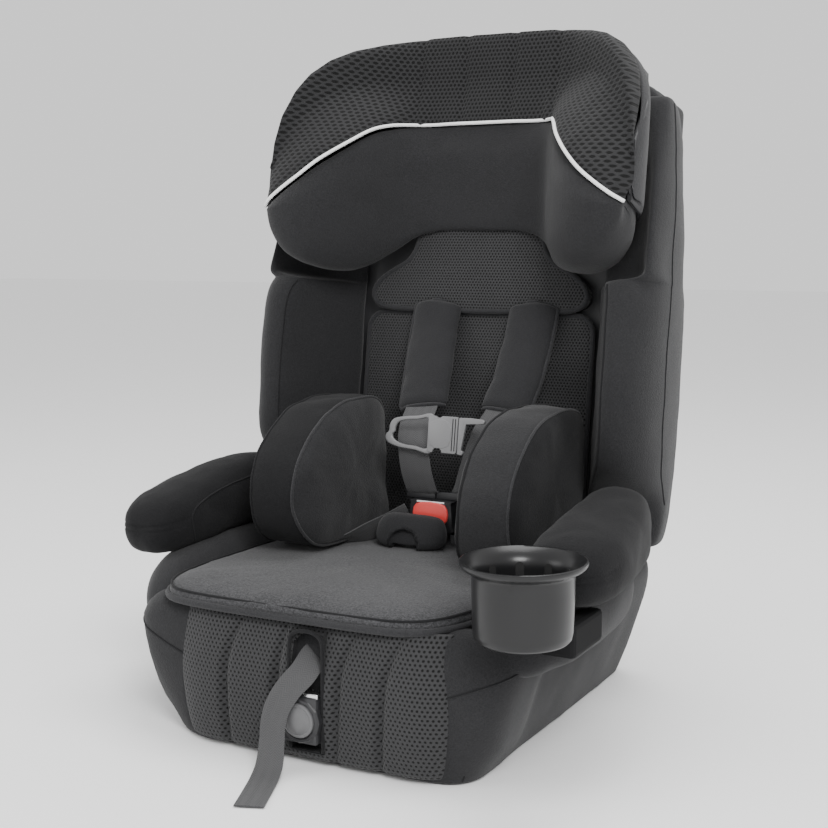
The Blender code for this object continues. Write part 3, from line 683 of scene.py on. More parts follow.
rings = []
for depth, grow in ((0.0555, 0.0035), (0.040, 0.0050), (0.022, 0.0048), (0.0140, 0.0025), (0.0119, -0.002),
                    (0.0119, -0.020)):
    rings.append([lean((p.x, depth, p.z)) for p in even(back_outline(grow), 120)])
back_cover = cloth_piece("back_cover_cloth", loft(rings, caps=False), charcoal, levels=1)
wall = back_cover.modifiers.new("wall", "SOLIDIFY")
wall.thickness = 0.0012
wall.offset = -1.0
settle(back_cover)
for face in back_cover.data.polygons:
    face.use_smooth = True
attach(back_cover, "back")
binding = [lean((p.x, 0.0565, p.z)) for p in even(back_outline(0.0030), 160)]
cord_trim("back_rear_binding", binding, 0.0024, edge_knit, closed=True, body="back")


# Side wings: deep foam wings in charcoal knit on both sides of the back, seamed down their front edge.
# Above them the same cover runs on as a thin wall beside the sliding headrest.
def wing_outline(z, tip, narrow):
    wide = 0.2325 - narrow
    lean_in = 0.142 + 0.38 * tip
    return ((0.143, 0.0116), (0.143, -0.002 - 0.03 * tip), (0.143 + 0.16 * tip, -0.38 * tip),
            (lean_in - 0.004, -0.84 * tip), (lean_in + 0.004, -1.01 * tip), (wide - 0.021, -1.01 * tip),
            (wide - 0.005, -0.76 * tip), (wide, -0.36 * tip), (wide - 0.002, 0.012), (wide - 0.009, 0.040),
            (wide - 0.016, 0.0525), (0.2060, 0.0535), (0.2050, 0.0300), (0.2050, 0.0116))


WALL_INNER = ((0.0, 0.143), (0.0105, 0.172), (0.044, 0.2035), (0.083, 0.2155), (0.120, 0.2165))


def wall_inner(depth):
    for (d0, x0), (d1, x1) in zip(WALL_INNER, WALL_INNER[1:]):
        if depth <= d1:
            return x0 + (x1 - x0) * (depth - d0) / (d1 - d0)
    return WALL_INNER[-1][1]


def wall_outline(z, tip, narrow):
    wide = 0.2325 - narrow
    return ((0.143, 0.0116), (0.143, -0.0015), (wall_inner(0.30 * tip), -0.30 * tip),
            (wall_inner(0.65 * tip), -0.65 * tip), (wall_inner(tip) + 0.0005, -1.01 * tip),
            (max(wide - 0.007, wall_inner(tip) + 0.002), -1.03 * tip),
            (wide - 0.002, -0.80 * tip), (wide, -0.36 * tip), (wide - 0.002, 0.012), (wide - 0.009, 0.040),
            (wide - 0.016, 0.0525), (0.2060, 0.0535), (0.2050, 0.0300), (0.2050, 0.0116))


WING_STATIONS = ((0.158, 0.014, 0.016), (0.163, 0.018, 0.009), (0.180, 0.022, 0.004), (0.205, 0.028, 0.002),
                 (0.222, 0.060, 0.001), (0.238, 0.094, 0.0), (0.262, 0.105, 0.0), (0.300, 0.108, 0.0),
                 (0.350, 0.108, 0.0), (0.392, 0.106, 0.0), (0.412, 0.101, 0.001), (0.4225, 0.093, 0.002),
                 (0.4265, 0.088, 0.0025))
WALL_STATIONS = ((0.4290, 0.085, 0.003), (0.440, 0.083, 0.004), (0.470, 0.079, 0.005), (0.520, 0.065, 0.008),
                 (0.560, 0.050, 0.012), (0.595, 0.036, 0.016), (0.618, 0.025, 0.020), (0.627, 0.018, 0.024))
for side, word in ((1, "left"), (-1, "right")):
    outlines = [(z, wing_outline(z, tip, narrow)) for z, tip, narrow in WING_STATIONS]
    outlines += [(z, wall_outline(z, tip, narrow)) for z, tip, narrow in WALL_STATIONS]
    rings = [[lean((side * x, y, z)) for x, y in outline] for z, outline in outlines]
    wing = cloth_piece("wing_cover_" + word, loft(rings), charcoal, levels=2)
    push(wing, lambda p, n: puckers(p, 0.050, 0.0016) + puckers(p, 0.018, 0.0005))
    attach(wing, "back")
    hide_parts("wing_pad_" + word)
    front_edge = smooth_path([(side * (0.142 + 0.38 * tip + 0.002), -tip + 0.002, z)
                              for z, tip, narrow in WING_STATIONS[4:12]], 6)
    side_edge = smooth_path([(side * (0.2325 - narrow - 0.001), -0.40 * tip + 0.002, z)
                             for z, tip, narrow in WING_STATIONS[3:] + WALL_STATIONS[:-1]], 4)
    for line, part, radius in ((front_edge, "front", 0.0011), (side_edge, "side", 0.0009)):
        path = []
        for point in line:
            hit, spot, normal, _ = wing.closest_point_on_mesh(lean(point))
            path.append(spot + normal * 0.0001)
        cord_trim("wing_%s_seam_%s" % (part, word), path, radius, edge_knit, body="back")


# Mesh inserts behind the child: a lower pad and an upper pad with ears, both bound at the edge.
fine_mesh = spacer("fine_spacer_mesh", 0.0036, 0.29, (0.034, 0.034, 0.0355), (0.0015, 0.0015, 0.0015))


def flat_pad(name, outline, front, rear, puff, look, node, binding=0.0030):
    """A thin pad with a bound edge, lying on the face of the back."""
    spread = even([Vector((x, 0.0, z)) for x, z in outline], 140)
    middle = Vector((sum(p.x for p in spread) / 140, 0.0, sum(p.z for p in spread) / 140))
    rings = [[Vector((p.x, rear, p.z)) for p in spread], [Vector((p.x, front + 0.0015, p.z)) for p in spread]]
    for share in (0.985, 0.95, 0.88, 0.76, 0.60, 0.42, 0.24, 0.08):
        depth = front - puff * (1 - share) ** 0.45
        rings.append([Vector((middle.x + (p.x - middle.x) * share, depth, middle.z + (p.z - middle.z) * share))
                      for p in spread])
    bm = loft(rings)
    uv = bm.loops.layers.uv["cloth"]
    for face in bm.faces:
        for loop in face.loops:
            loop[uv].uv = (loop.vert.co.x, loop.vert.co.z)
    for vert in bm.verts:
        if vert.co.y < front:
            vert.co.y -= 0.0012 * noise.noise(vert.co * 30)
        vert.co = lean(vert.co)
    made = cloth_piece(name, bm, look, levels=0)
    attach(made, "back")
    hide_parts(node)
    cord_trim(name + "_binding", [lean((p.x, front + 0.0005, p.z)) for p in spread], binding, tape_knit,
              closed=True, body="back")
    return made


lower_outline = [(p.x, p.y) for p in plan_ring(0.136, 0.136, 0.170, 0.397, 0.020, 0.0)]
flat_pad("lower_insert_mesh", lower_outline, 0.0010, 0.0118, 0.006, fine_mesh, "lower_insert")
EARS = ((0.0, 0.3990), (0.060, 0.4000), (0.100, 0.4005), (0.119, 0.4035), (0.1285, 0.412), (0.1275, 0.424),
        (0.117, 0.4355), (0.102, 0.4450), (0.088, 0.4530), (0.079, 0.4650), (0.0750, 0.482), (0.0735, 0.505),
        (0.072, 0.520), (0.0, 0.521))
half = smooth_path([(x, 0.0, z) for x, z in EARS], 5)
upper_outline = [(p.x, p.z) for p in half] + [(-p.x, p.z) for p in reversed(half[1:-1])]
flat_pad("upper_insert_mesh", upper_outline, -0.0060, 0.0118, 0.0045, fine_mesh, "upper_insert")


# Torso bolsters: foam blocks in a two-part cover, a grey face towards the child and a black band round
# the edge, with a welt between them. The band carries painted light and shade: it is grey on the left
# bolster, which faces the key light, and black on the right one, which lies in shade.
BOLSTER_EDGE = ((0.104, 0.168), (0.108, 0.200), (0.110, 0.245), (0.108, 0.284), (0.092, 0.301), (0.055, 0.3055),
                (0.020, 0.304), (-0.008, 0.298), (-0.030, 0.2885), (-0.053, 0.273), (-0.070, 0.256),
                (-0.081, 0.237), (-0.0855, 0.215), (-0.0805, 0.191), (-0.066, 0.1715), (-0.044, 0.1610),
                (-0.005, 0.1580), (0.045, 0.1580), (0.088, 0.1600))
edge_loop = smooth_path([(0.0, y, z) for y, z in BOLSTER_EDGE], 4, closed=True)
heart = Vector((0.0, 0.015, 0.228))
for side, word in ((1, "left"), (-1, "right")):
    rings = []
    for x, share in ((0.0772, 0.14), (0.0776, 0.34), (0.0788, 0.54), (0.0812, 0.72), (0.0845, 0.86),
                     (0.0885, 0.945), (0.0915, 0.978), (0.0960, 1.0), (0.110, 1.012), (0.126, 1.008),
                     (0.1385, 0.994), (0.1440, 0.972), (0.1480, 0.93), (0.1508, 0.80), (0.1514, 0.50),
                     (0.1514, 0.16)):
        rings.append([Vector((side * (x - 0.010 * share ** 2 * max(0.0, (0.205 - p.z) / 0.05) * (x < 0.12)),
                              heart.y + (p.y - heart.y) * share, heart.z + (p.z - heart.z) * share))
                      for p in edge_loop])
    bm = loft(rings)
    row_of = bm.verts.layers.int["row"]
    # Painted light and shade: the grey face cloth runs to row 11 on the lit left bolster and only to row 6 on
    # the shaded right one.
    grey_rows_by_light = 11 if side > 0 else 6
    for face in bm.faces:
        face.material_index = 0 if max(vert[row_of] for vert in face.verts) <= grey_rows_by_light else 1
    bolster = cloth_piece("torso_bolster_cover_" + word, bm, (charcoal, black_knit), levels=1)
    push(bolster, lambda p, n: puckers(p, 0.034, 0.0020) + puckers(p, 0.013, 0.0006))
    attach(bolster, "back")
    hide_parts("torso_bolster_" + word)
    for x, share, part, radius in ((0.0920, 0.990, "inner", 0.0016), (0.1430, 0.980, "outer", 0.0014)):
        welt = [Vector((side * (x - 0.010 * max(0.0, (0.205 - p.z) / 0.05) * (x < 0.12)),
                        heart.y + (p.y - heart.y) * share,
                        heart.z + (p.z - heart.z) * share)) for p in edge_loop]
        near = []
        for point in welt:
            hit, spot, normal, _ = bolster.closest_point_on_mesh(point)
            near.append(spot + normal * 0.0004)
        # Painted light: on each bolster the welt nearer the key light gets the lighter tape cloth and the other
        # gets the black binding.
        cord_trim("bolster_%s_welt_%s" % (part, word), near, radius,
                  tape_knit if (part == "outer") == (side > 0) else edge_knit, closed=True, body="back")


# Headrest covers: a smooth charcoal pad with two lobes below, a black spacer-mesh crown above with
# sewn channels, grey side bands, and a white piping between crown and pad.
HEAD_BACK = ((0.0, 0.0), (0.035, 0.0), (0.070, 0.0), (0.098, -0.0015), (0.122, -0.005), (0.146, -0.012),
             (0.168, -0.022), (0.186, -0.037), (0.200, -0.056), (0.209, -0.080), (0.210, -0.100),
             (0.207, -0.116))
HEAD_FRONT = ((0.0, -0.020), (0.035, -0.020), (0.068, -0.021), (0.086, -0.034), (0.097, -0.058),
              (0.108, -0.082),
              (0.122, -0.108), (0.141, -0.130), (0.160, -0.1405), (0.178, -0.143), (0.194, -0.139),
              (0.2045, -0.126))
PAD_LOW = (0.486, 0.486, 0.4835, 0.466, 0.447, 0.4365, 0.4315, 0.4330, 0.4400, 0.4520, 0.4680, 0.4850)
SEAM_Z = (0.6045, 0.6045, 0.6040, 0.6020, 0.5970, 0.5880, 0.5700, 0.5480, 0.5290, 0.5150, 0.5040, 0.4975)
SEAM_FRONT = ((0.0, -0.0160), (0.035, -0.0160), (0.068, -0.0165), (0.086, -0.0300), (0.096, -0.0520),
              (0.107, -0.074), (0.121, -0.099), (0.141, -0.1230), (0.160, -0.1335), (0.178, -0.1365),
              (0.194, -0.1340), (0.2055, -0.124))
CROWN_FRONT = ((0.0, -0.010), (0.035, -0.010), (0.070, -0.011), (0.100, -0.020), (0.126, -0.040),
               (0.148, -0.063),
               (0.166, -0.083), (0.180, -0.098), (0.191, -0.108), (0.200, -0.114), (0.206, -0.116),
               (0.2095, -0.114))
CROWN_HIGH = (0.7045, 0.7045, 0.7040, 0.7015, 0.6960, 0.6870, 0.6740, 0.6570, 0.6360, 0.6080, 0.5780, 0.5450)


def inward(path, distance):
    moved = []
    for i, (x, y) in enumerate(path):
        x0, y0 = path[i - 1] if i else (-path[1][0], path[1][1])
        x1, y1 = path[min(i + 1, len(path) - 1)]
        along = Vector((x1 - x0, y1 - y0)).normalized()
        moved.append((x + along.y * distance, y - along.x * distance))
    return moved


INNER = inward(HEAD_BACK, 0.0052)
pad_half = [(front, rear, low, seam - 0.0012, seam_front) for front, rear, low, seam, seam_front
            in zip(HEAD_FRONT, INNER, PAD_LOW, SEAM_Z, SEAM_FRONT)]
rings = []
for side, rows in ((-1, list(reversed(pad_half[1:]))), (1, pad_half)):
    for (fx, fy), (rx, ry), low, high, (sx, sy) in rows:
        ring = []
        for share, height in ((0.30, 0.0), (0.12, 0.012), (0.03, 0.040), (0.0, 0.085)):
            ring.append((fx + (rx - fx) * share, fy + (ry - fy) * share, low + min(height, (high - low) * 0.7)))
        ring.append((fx + (sx - fx) * 0.35, fy + (sy - fy) * 0.35, low + (high - low) * 0.80))
        ring.append((sx, sy, high - 0.002))
        ring.append((sx + (rx - sx) * 0.20, sy + (ry - sy) * 0.20, high))
        ring.append((rx, ry, high))
        ring.append((rx, ry, (low + high) / 2))
        ring.append((rx, ry, low + 0.020))
        ring.append((rx + (fx - rx) * 0.25, ry + (fy - ry) * 0.25, low + 0.003))
        rings.append([lean((side * x, y, z)) for x, y, z in ring])
head_pad = cloth_piece("head_pad_cover", loft(rings), charcoal, levels=2)
push(head_pad, lambda p, n: puckers(p, 0.035, 0.0014) + puckers(p, 0.014, 0.0005))
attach(head_pad, "headrest")
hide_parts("head_pad")

crown_mesh = spacer("crown_spacer_mesh", 0.0052, 0.31, (0.0155, 0.0155, 0.0165), (0.0010, 0.0010, 0.0010),
                    sheen=0.04)
crown_half = list(zip(SEAM_FRONT, CROWN_FRONT, INNER, SEAM_Z, CROWN_HIGH))


def crown_spot(u, v):
    """A point of the crown's face: u from 0 at the middle to 1 at the side, v from the piping to the top."""
    place = min(max(abs(u) * (len(crown_half) - 1), 0.0), len(crown_half) - 1.0001)
    i = int(place)
    t = place - i
    found = []
    for row in (crown_half[i], crown_half[i + 1]):
        (sx, sy), (cx, cy), (rx, ry), low, high = row
        w = min(v / 0.55, 1.0)
        w = w * w * (3 - 2 * w)
        x = sx + (cx - sx) * w
        y = sy + (cy - sy) * w
        roll = max(0.0, (v - 0.80) / 0.20)
        x += (rx - x) * 0.75 * roll ** 2.4
        y += (ry - y) * 0.75 * roll ** 2.4
        found.append(Vector((x, y, low + (high - low) * (v if v < 0.8 else 0.8 + 0.2 * sin(roll * pi / 2)))))
    spot = found[0].lerp(found[1], t)
    spot.x *= 1 if u >= 0 else -1
    return spot


bm = bmesh.new()
bmesh.ops.create_grid(bm, x_segments=180, y_segments=56, size=1.0)
uv = bm.loops.layers.uv.new("cloth")
for vert in bm.verts:
    u, v = vert.co.x, (vert.co.y + 1) / 2
    vert.co = crown_spot(u, v)
for face in bm.faces:
    for loop in face.loops:
        loop[uv].uv = (atan2(loop.vert.co.x, 0.16) * 0.19, loop.vert.co.z)
bmesh.ops.recalc_face_normals(bm, faces=bm.faces)
for vert in bm.verts:
    gap = min(abs(abs(vert.co.x) - line) for line in (0.0285, 0.0815)) / 0.0065
    v = (vert.co.z - 0.50) / 0.2
    vert.co.y += 0.0048 * max(0.0, 1 - gap) ** 1.4
    if min(abs(vert.co.x) / 0.083, 1.0) < 1.0:
        vert.co.y -= 0.0018
    vert.co.y -= 0.0012 * noise.noise(vert.co * 26)
    vert.co = lean(vert.co)
crown = cloth_piece("head_crown_mesh", bm, crown_mesh, levels=0)
if crown.data.polygons[len(crown.data.polygons) // 2].normal.y > 0:
    crown.data.flip_normals()
wall = crown.modifiers.new("wall", "SOLIDIFY")
wall.thickness = 0.003
wall.offset = -1.0
settle(crown)
for face in crown.data.polygons:
    face.use_smooth = True
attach(crown, "headrest")
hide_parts("head_mesh_pad")

rings = []
half_back = list(zip(HEAD_BACK, CROWN_FRONT, SEAM_FRONT, SEAM_Z, CROWN_HIGH, PAD_LOW))
for side, rows in ((-1, list(reversed(half_back[1:]))), (1, half_back)):
    for (bx, by), (cx, cy), (sx, sy), seam, high, low in rows:
        bottom = max(low + 0.030, 0.486)
        ring = [(cx + (bx - cx) * 0.55, cy + (by - cy) * 0.55, high - 0.0050),
                (cx + (bx - cx) * 0.80, cy + (by - cy) * 0.80, high - 0.0020),
                (bx + 0.0010, by, high - 0.0060), (bx + 0.0022, by + 0.001, high - 0.020),
                (bx + 0.0022, by + 0.001, (seam + high) / 2), (bx + 0.0020, by + 0.001, seam - 0.010),
                (bx + 0.0012, by, bottom + 0.010), (bx - 0.0020, by - 0.0040, bottom),
                (bx - 0.0030, by - 0.0045, seam), (bx - 0.0030, by - 0.0045, high - 0.020)]
        rings.append([lean((side * x, y, z)) for x, y, z in ring])
band_knit = knit("band_knit", (0.012, 0.012, 0.013), (0.033, 0.033, 0.035))
band = cloth_piece("head_side_band", loft(rings), band_knit, levels=2)
push(band, lambda p, n: puckers(p, 0.040, 0.0008))
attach(band, "headrest")

piping_look = knit("white_piping", (0.72, 0.72, 0.72), (0.92, 0.92, 0.91), sheen=0.1, grain=2200.0)
half = [Vector((x, y - 0.0020, z)) for (x, y), z in zip(SEAM_FRONT, SEAM_Z)]
line = [Vector((-p.x, p.y, p.z)) for p in reversed(half[1:])] + half
piping = cord_trim("headrest_piping_cord", [lean(p) for p in smooth_path(line, 6)], 0.0019, piping_look,
                   body="headrest")
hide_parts("headrest_piping")


# Harness webbing: flat woven polyester, 36 to 38 mm wide, running over the shoulders, across the lap
# and up between the legs to the buckle.
def woven(name, dark, light, pitch=0.0024):
    """Webbing: fine diagonal ribs that turn round in the middle of the width."""
    look = Finish(name, Sheen_Weight=0.18, Sheen_Roughness=0.4, Specular_IOR_Level=0.35)
    u, v, _ = look.split(look.cloth_uv())
    zig = ((u / 0.0090).math("FRACT") - 0.5).math("ABSOLUTE") * 0.0090
    rib = ((v + zig) / pitch).math("FRACT").math("PINGPONG", 0.5) * 2.0
    yarn = (u / 0.0009).math("FRACT").math("PINGPONG", 0.5) * 2.0
    slow = look.fleck(14.0, 3.0)
    shade = rib * 0.35 + yarn * 0.15 + slow * 0.35 + look.fleck(1400.0, 1.0) * 0.25
    look.feed("Base Color", look.blend(shade.math("MINIMUM", 1.0), (*dark, 1), (*light, 1)))
    look.feed("Roughness", 0.78 - rib * 0.12 + slow * 0.06)
    look.bump(rib * 0.8 + yarn * 0.3, 0.6, 0.0005)
    return look.material


webbing_look = woven("grey_webbing", (0.020, 0.020, 0.021), (0.078, 0.078, 0.080))
fine_knit = knit("sleeve_knit", (0.008, 0.008, 0.009), (0.022, 0.022, 0.0235), grain=1900.0)


def ribbon(name, path, widths, width, thick, look, body, steps=5):
    """A strap with slightly thinned edges along a smooth path; widths gives the way its width lies."""
    points = smooth_path(path, steps)
    ways = smooth_path(widths, steps)
    rings = []
    across = [k / 5 - 1 for k in range(11)]
    for i, point in enumerate(points):
        along = (points[min(i + 1, len(points) - 1)] - points[max(i - 1, 0)]).normalized()
        wide = (ways[i] - along * ways[i].dot(along)).normalized()
        out = along.cross(wide).normalized()
        top = [point + wide * (width / 2 * a) + out * (thick / 2 * (1 - 0.55 * abs(a) ** 6)) for a in across]
        under = [point + wide * (width / 2 * a) - out * (thick / 2 * (1 - 0.55 * abs(a) ** 6))
                 for a in reversed(across)]
        rings.append(top + under)
    made = cloth_piece(name, loft(rings), look, levels=0, smooth=60.0)
    if body:
        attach(made, body)
    return made, points


# Shoulder straps: webbing from the slots in the back, under their pads, through the chest clip and down
# to the buckle tongues.
WEBBING_PATHS = {
    "left": ((0.070, 0.018, 0.406), (0.070, -0.002, 0.405), (0.0700, -0.010, 0.394), (0.070, -0.022, 0.360),
             (0.069, -0.040, 0.322), (0.065, -0.062, 0.292), (0.060, -0.080, 0.270), (0.054, -0.083, 0.248),
             (0.046, -0.080, 0.224), (0.038, -0.074, 0.200), (0.030, -0.066, 0.190)),
    "right": ((-0.044, 0.018, 0.406), (-0.044, -0.002, 0.405), (-0.0445, -0.010, 0.394),
              (-0.042, -0.022, 0.360),
              (-0.036, -0.040, 0.322), (-0.0295, -0.062, 0.292), (-0.024, -0.086, 0.270),
              (-0.018, -0.0985, 0.248),
              (-0.0155, -0.095, 0.224), (-0.0125, -0.086, 0.204), (-0.0105, -0.080, 0.198)),
}
for word, path in WEBBING_PATHS.items():
    strap, _ = ribbon("shoulder_webbing_" + word, [lean(p) for p in path], [(1.0, 0.0, 0.0)] * len(path),
                      0.036, 0.0018,
                      webbing_look, None)
    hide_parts("shoulder_strap_" + word)
    lean((0.0, -0.09, 0.245))
    lean((0.0, -0.08, 0.202))
    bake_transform(strap)

# Shoulder pads: curved knit sleeves over foam that fold round the webbing, with a bound outer edge.
for word, side in (("left", 1), ("right", -1)):
    path = [Vector(p) for p in WEBBING_PATHS[word]]
    line = smooth_path([path[2] + Vector((0, 0.004, 0.014)), path[2], path[3], path[4],
                        path[5] + Vector((0, 0.004, -0.004))], 7)
    count = len(line)
    rings = []
    for i, point in enumerate(line):
        t = i / (count - 1)
        along = (line[min(i + 1, count - 1)] - line[max(i - 1, 0)]).normalized()
        wide = (Vector((1, 0, 0)) - along * along.x).normalized()
        out = along.cross(wide).normalized()
        if out.y > 0:
            out = -out
        grow = max(0.30, sqrt(max(1 - (1 - min(t / 0.17, 1.0)) ** 2, 0.0)))
        half = 0.0280 * (grow if t < 0.17 else 1.0) * (1.0 - 0.10 * max(0.0, (t - 0.9) / 0.1) ** 2)
        ring = []
        for k in range(30):
            angle = 2 * pi * k / 30
            c, s = cos(angle), sin(angle)
            u = half * abs(c) ** 0.72 * (1 if c >= 0 else -1)
            depth = (0.0072 if s > 0 else 0.0042) * min(1.0, 0.35 + t * 6, 0.45 + (1 - t) * 9)
            v = depth * abs(s) ** 0.80 * (1 if s >= 0 else -1)
            arch = 0.0040 * (1 - (u / half) ** 2) - 0.0030
            ring.append(lean(point + wide * u + out * (v + 0.0035 + arch)))
        rings.append(ring)
    pad = cloth_piece("shoulder_pad_sleeve_" + word, loft(rings), fine_knit, levels=1)
    push(pad, lambda p, n: puckers(p, 0.026, 0.0012) + puckers(p, 0.010, 0.0004))
    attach(pad, "back")
    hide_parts("shoulder_pad_" + word)
    rim = [rings[i][0 if side > 0 else 15] for i in range(count)]
    top = [rings[0][k] for k in (range(15, -1, -3) if side > 0 else range(0, 16, 3))]
    low = [rings[-1][k] for k in (range(0, 16, 3) if side > 0 else range(15, -1, -3))]
    cord_trim("shoulder_pad_binding_" + word, smooth_path(top + rim[1:-1] + low, 3), 0.0021, tape_knit,
              body="back",
              flatten=1.0)


# Chest clip: two satin grey mouldings that latch over the webbing, an open loop with a centre plate on
# one side and a two-pronged hook on the other.
def moulded(name, dark, light, rough, grain=900.0, depth=0.00012, coat=0.0, metallic=0.0, shine=0.5):
    """Moulded plastic or metal: fine grain, slow changes of gloss and light scuffs."""
    look = Finish(name, Coat_Weight=coat, Coat_Roughness=0.12, Metallic=metallic, Specular_IOR_Level=shine)
    slow = look.fleck(11.0, 3.0)
    fine = look.fleck(grain, 2.0)
    scuff = look.node("ShaderNodeMapRange", Value=look.fleck(60.0, 6.0), From_Min=0.60, From_Max=0.74,
                      To_Min=0.0, To_Max=1.0)
    look.feed("Base Color", look.blend((slow * 0.6 + fine * 0.4).math("MINIMUM", 1.0), (*dark, 1), (*light, 1)))
    look.feed("Roughness", slow * 0.10 + scuff * 0.10 + (rough - 0.05))
    look.bump(fine + scuff * 0.3, 0.35, depth)
    return look.material


clip_grey = moulded("satin_grey_plastic", (0.125, 0.125, 0.128), (0.185, 0.185, 0.188), 0.36)


def plate(outline, front, rear, soften):
    """A flat moulding from an outline in x and z, given its thickness and softened rims."""
    bm = bmesh.new()
    face = bm.faces.new([bm.verts.new((x, rear, z)) for x, z in outline])
    grown = bmesh.ops.extrude_face_region(bm, geom=[face])
    bmesh.ops.translate(bm, vec=(0, front - rear, 0),
                        verts=[v for v in grown["geom"] if isinstance(v, bmesh.types.BMVert)])
    bmesh.ops.recalc_face_normals(bm, faces=bm.faces)
    rims = [e for e in bm.edges if e.calc_face_angle(0.0) > 1.2]
    bmesh.ops.bevel(bm, geom=rims, offset=soften, segments=3, profile=0.5, affect="EDGES", material=-1,
                    clamp_overlap=True)
    bmesh.ops.recalc_face_normals(bm, faces=bm.faces)
    return bm


def hard_piece(name, bm, look, body, tilt=True, smooth=35.0):
    if tilt:
        for vert in bm.verts:
            vert.co = lean(vert.co)
    made = cloth_piece(name, bm, look, levels=0, smooth=smooth)
    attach(made, body)
    return made


CLIP_Z = 0.2620
outer = [(-0.0440, 0.0), (-0.0432, 0.0075), (-0.0385, 0.0135), (-0.028, 0.0162), (-0.010, 0.0180),
         (0.0090, 0.0190),
         (0.0090, -0.0190), (-0.012, -0.0180), (-0.030, -0.0165), (-0.0430, -0.0130), (-0.0475, -0.0080),
         (-0.0470, -0.0030)]
inner = [(-0.0362, 0.0), (-0.0356, 0.0050), (-0.0320, 0.0100), (-0.024, 0.0124), (-0.010, 0.0138),
         (0.0030, 0.0142),
         (0.0030, -0.0142), (-0.012, -0.0136), (-0.024, -0.0128), (-0.0330, -0.0104), (-0.0380, -0.0066),
         (-0.0385, -0.0025)]
outer = smooth_path([(x, 0.0, z + CLIP_Z) for x, z in outer], 4, closed=True)
inner = smooth_path([(x, 0.0, z + CLIP_Z) for x, z in inner], 4, closed=True)
rings = []
for depth, share in ((-0.1040, 0.0), (-0.1073, 0.0), (-0.1083, 0.10), (-0.1086, 0.28), (-0.1086, 0.72),
                     (-0.1083, 0.90), (-0.1073, 1.0), (-0.1040, 1.0)):
    rings.append([lean((o.x + (i.x - o.x) * share, depth, o.z + (i.z - o.z) * share)) for o,
                  i in zip(outer, inner)])
loop_part = cloth_piece("chest_clip_loop", loft(rings, closed=True), clip_grey, levels=1)
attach(loop_part, "back")
notch = [(0.0030 + 0.0, -0.0190), (0.0085, -0.0190)]
for k in range(7):
    angle = pi - pi * k / 6
    notch.append((0.0145 + 0.0055 * cos(angle), -0.0190 + 0.0050 * sin(angle)))
centre = notch + [(0.0350, -0.0192), (0.0365, -0.0175), (0.0365, 0.0175), (0.0350, 0.0190), (0.0190, 0.0190),
                  (0.0165, 0.0172), (0.0125, 0.0172), (0.0100, 0.0190), (0.0030, 0.0190)]
centre = [(x, z + CLIP_Z) for x, z in centre]
middle = hard_piece("chest_clip_centre", plate(centre, -0.1092, -0.1035, 0.0008), clip_grey, "back")
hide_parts("chest_clip_right")
# Two thin dark strips in the black binding cloth are painted on the centre plate as the shade in its grooves.
for x in (0.0312, 0.0342):
    groove_shade_strip = [(x - 0.0005, -0.0165 + CLIP_Z), (x + 0.0005, -0.0165 + CLIP_Z), (x + 0.0005, 0.0168 + CLIP_Z),
              (x - 0.0005, 0.0168 + CLIP_Z)]
    hard_piece("chest_clip_line_%d" % round(x * 10000), plate(groove_shade_strip, -0.10935, -0.1088, 0.00008), edge_knit,
               "back")
raised = smooth_path([(0.0065, 0.0, -0.0120), (0.0065, 0.0, 0.0125), (0.0275, 0.0, 0.0125),
                      (0.0275, 0.0, -0.0115)], 3,
                     closed=True)
raised = [(p.x, p.z + CLIP_Z) for p in raised]
hard_piece("chest_clip_boss", plate(raised, -0.1096, -0.1088, 0.0004), clip_grey, "back")
hook = [(0.0372, -0.0195), (0.0420, -0.0200), (0.0438, -0.0185), (0.0440, -0.0160), (0.0412, -0.0150),
        (0.0455, 0.0120), (0.0620, 0.0130), (0.0660, 0.0138), (0.0662, 0.0165), (0.0640, 0.0178),
        (0.0500, 0.0188),
        (0.0385, 0.0185), (0.0374, 0.0170)]
hook_part = hard_piece("chest_clip_hook", plate([(x, z + CLIP_Z) for x, z in hook], -0.1085, -0.1040, 0.0007),
                       clip_grey, "back")
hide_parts("chest_clip_left")

# Splitter plate: a bare steel yoke behind the shell. Both shoulder straps hang on it, and a single
# strap runs from it down towards the adjuster.
steel = moulded("brushed_steel", (0.42, 0.42, 0.43), (0.58, 0.58, 0.59), 0.32, metallic=1.0, grain=500.0)


def coat_node(name, look):
    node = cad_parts[name]
    if not node.material_slots:
        node.data.materials.append(look)
    for slot in node.material_slots:
        slot.material = look


coat_node("splitter_plate", steel)
for word, side in (("left", 1), ("right", -1)):
    path = [(side * 0.055 + 0.012, 0.0180, 0.406), (side * 0.054 + 0.011, 0.0235, 0.400),
            (side * 0.045 + 0.006, 0.0250, 0.360),
            (side * 0.034, 0.0245, 0.310), (side * 0.028, 0.0245, 0.285)]
    ribbon("rear_webbing_" + word, [lean(p) for p in path], [(1.0, 0.0, 0.0)] * 5, 0.036, 0.0018,
                           webbing_look, "back")
path = [(0.0, 0.0262, 0.258), (0.0, 0.0275, 0.235), (0.0, 0.0265, 0.205), (0.0, 0.0260, 0.172),
        (0.0, 0.0300, 0.158)]
ribbon("rear_webbing_single", [lean(p) for p in path], [(1.0, 0.0, 0.0)] * 5, 0.036, 0.0018, webbing_look,
       "back")


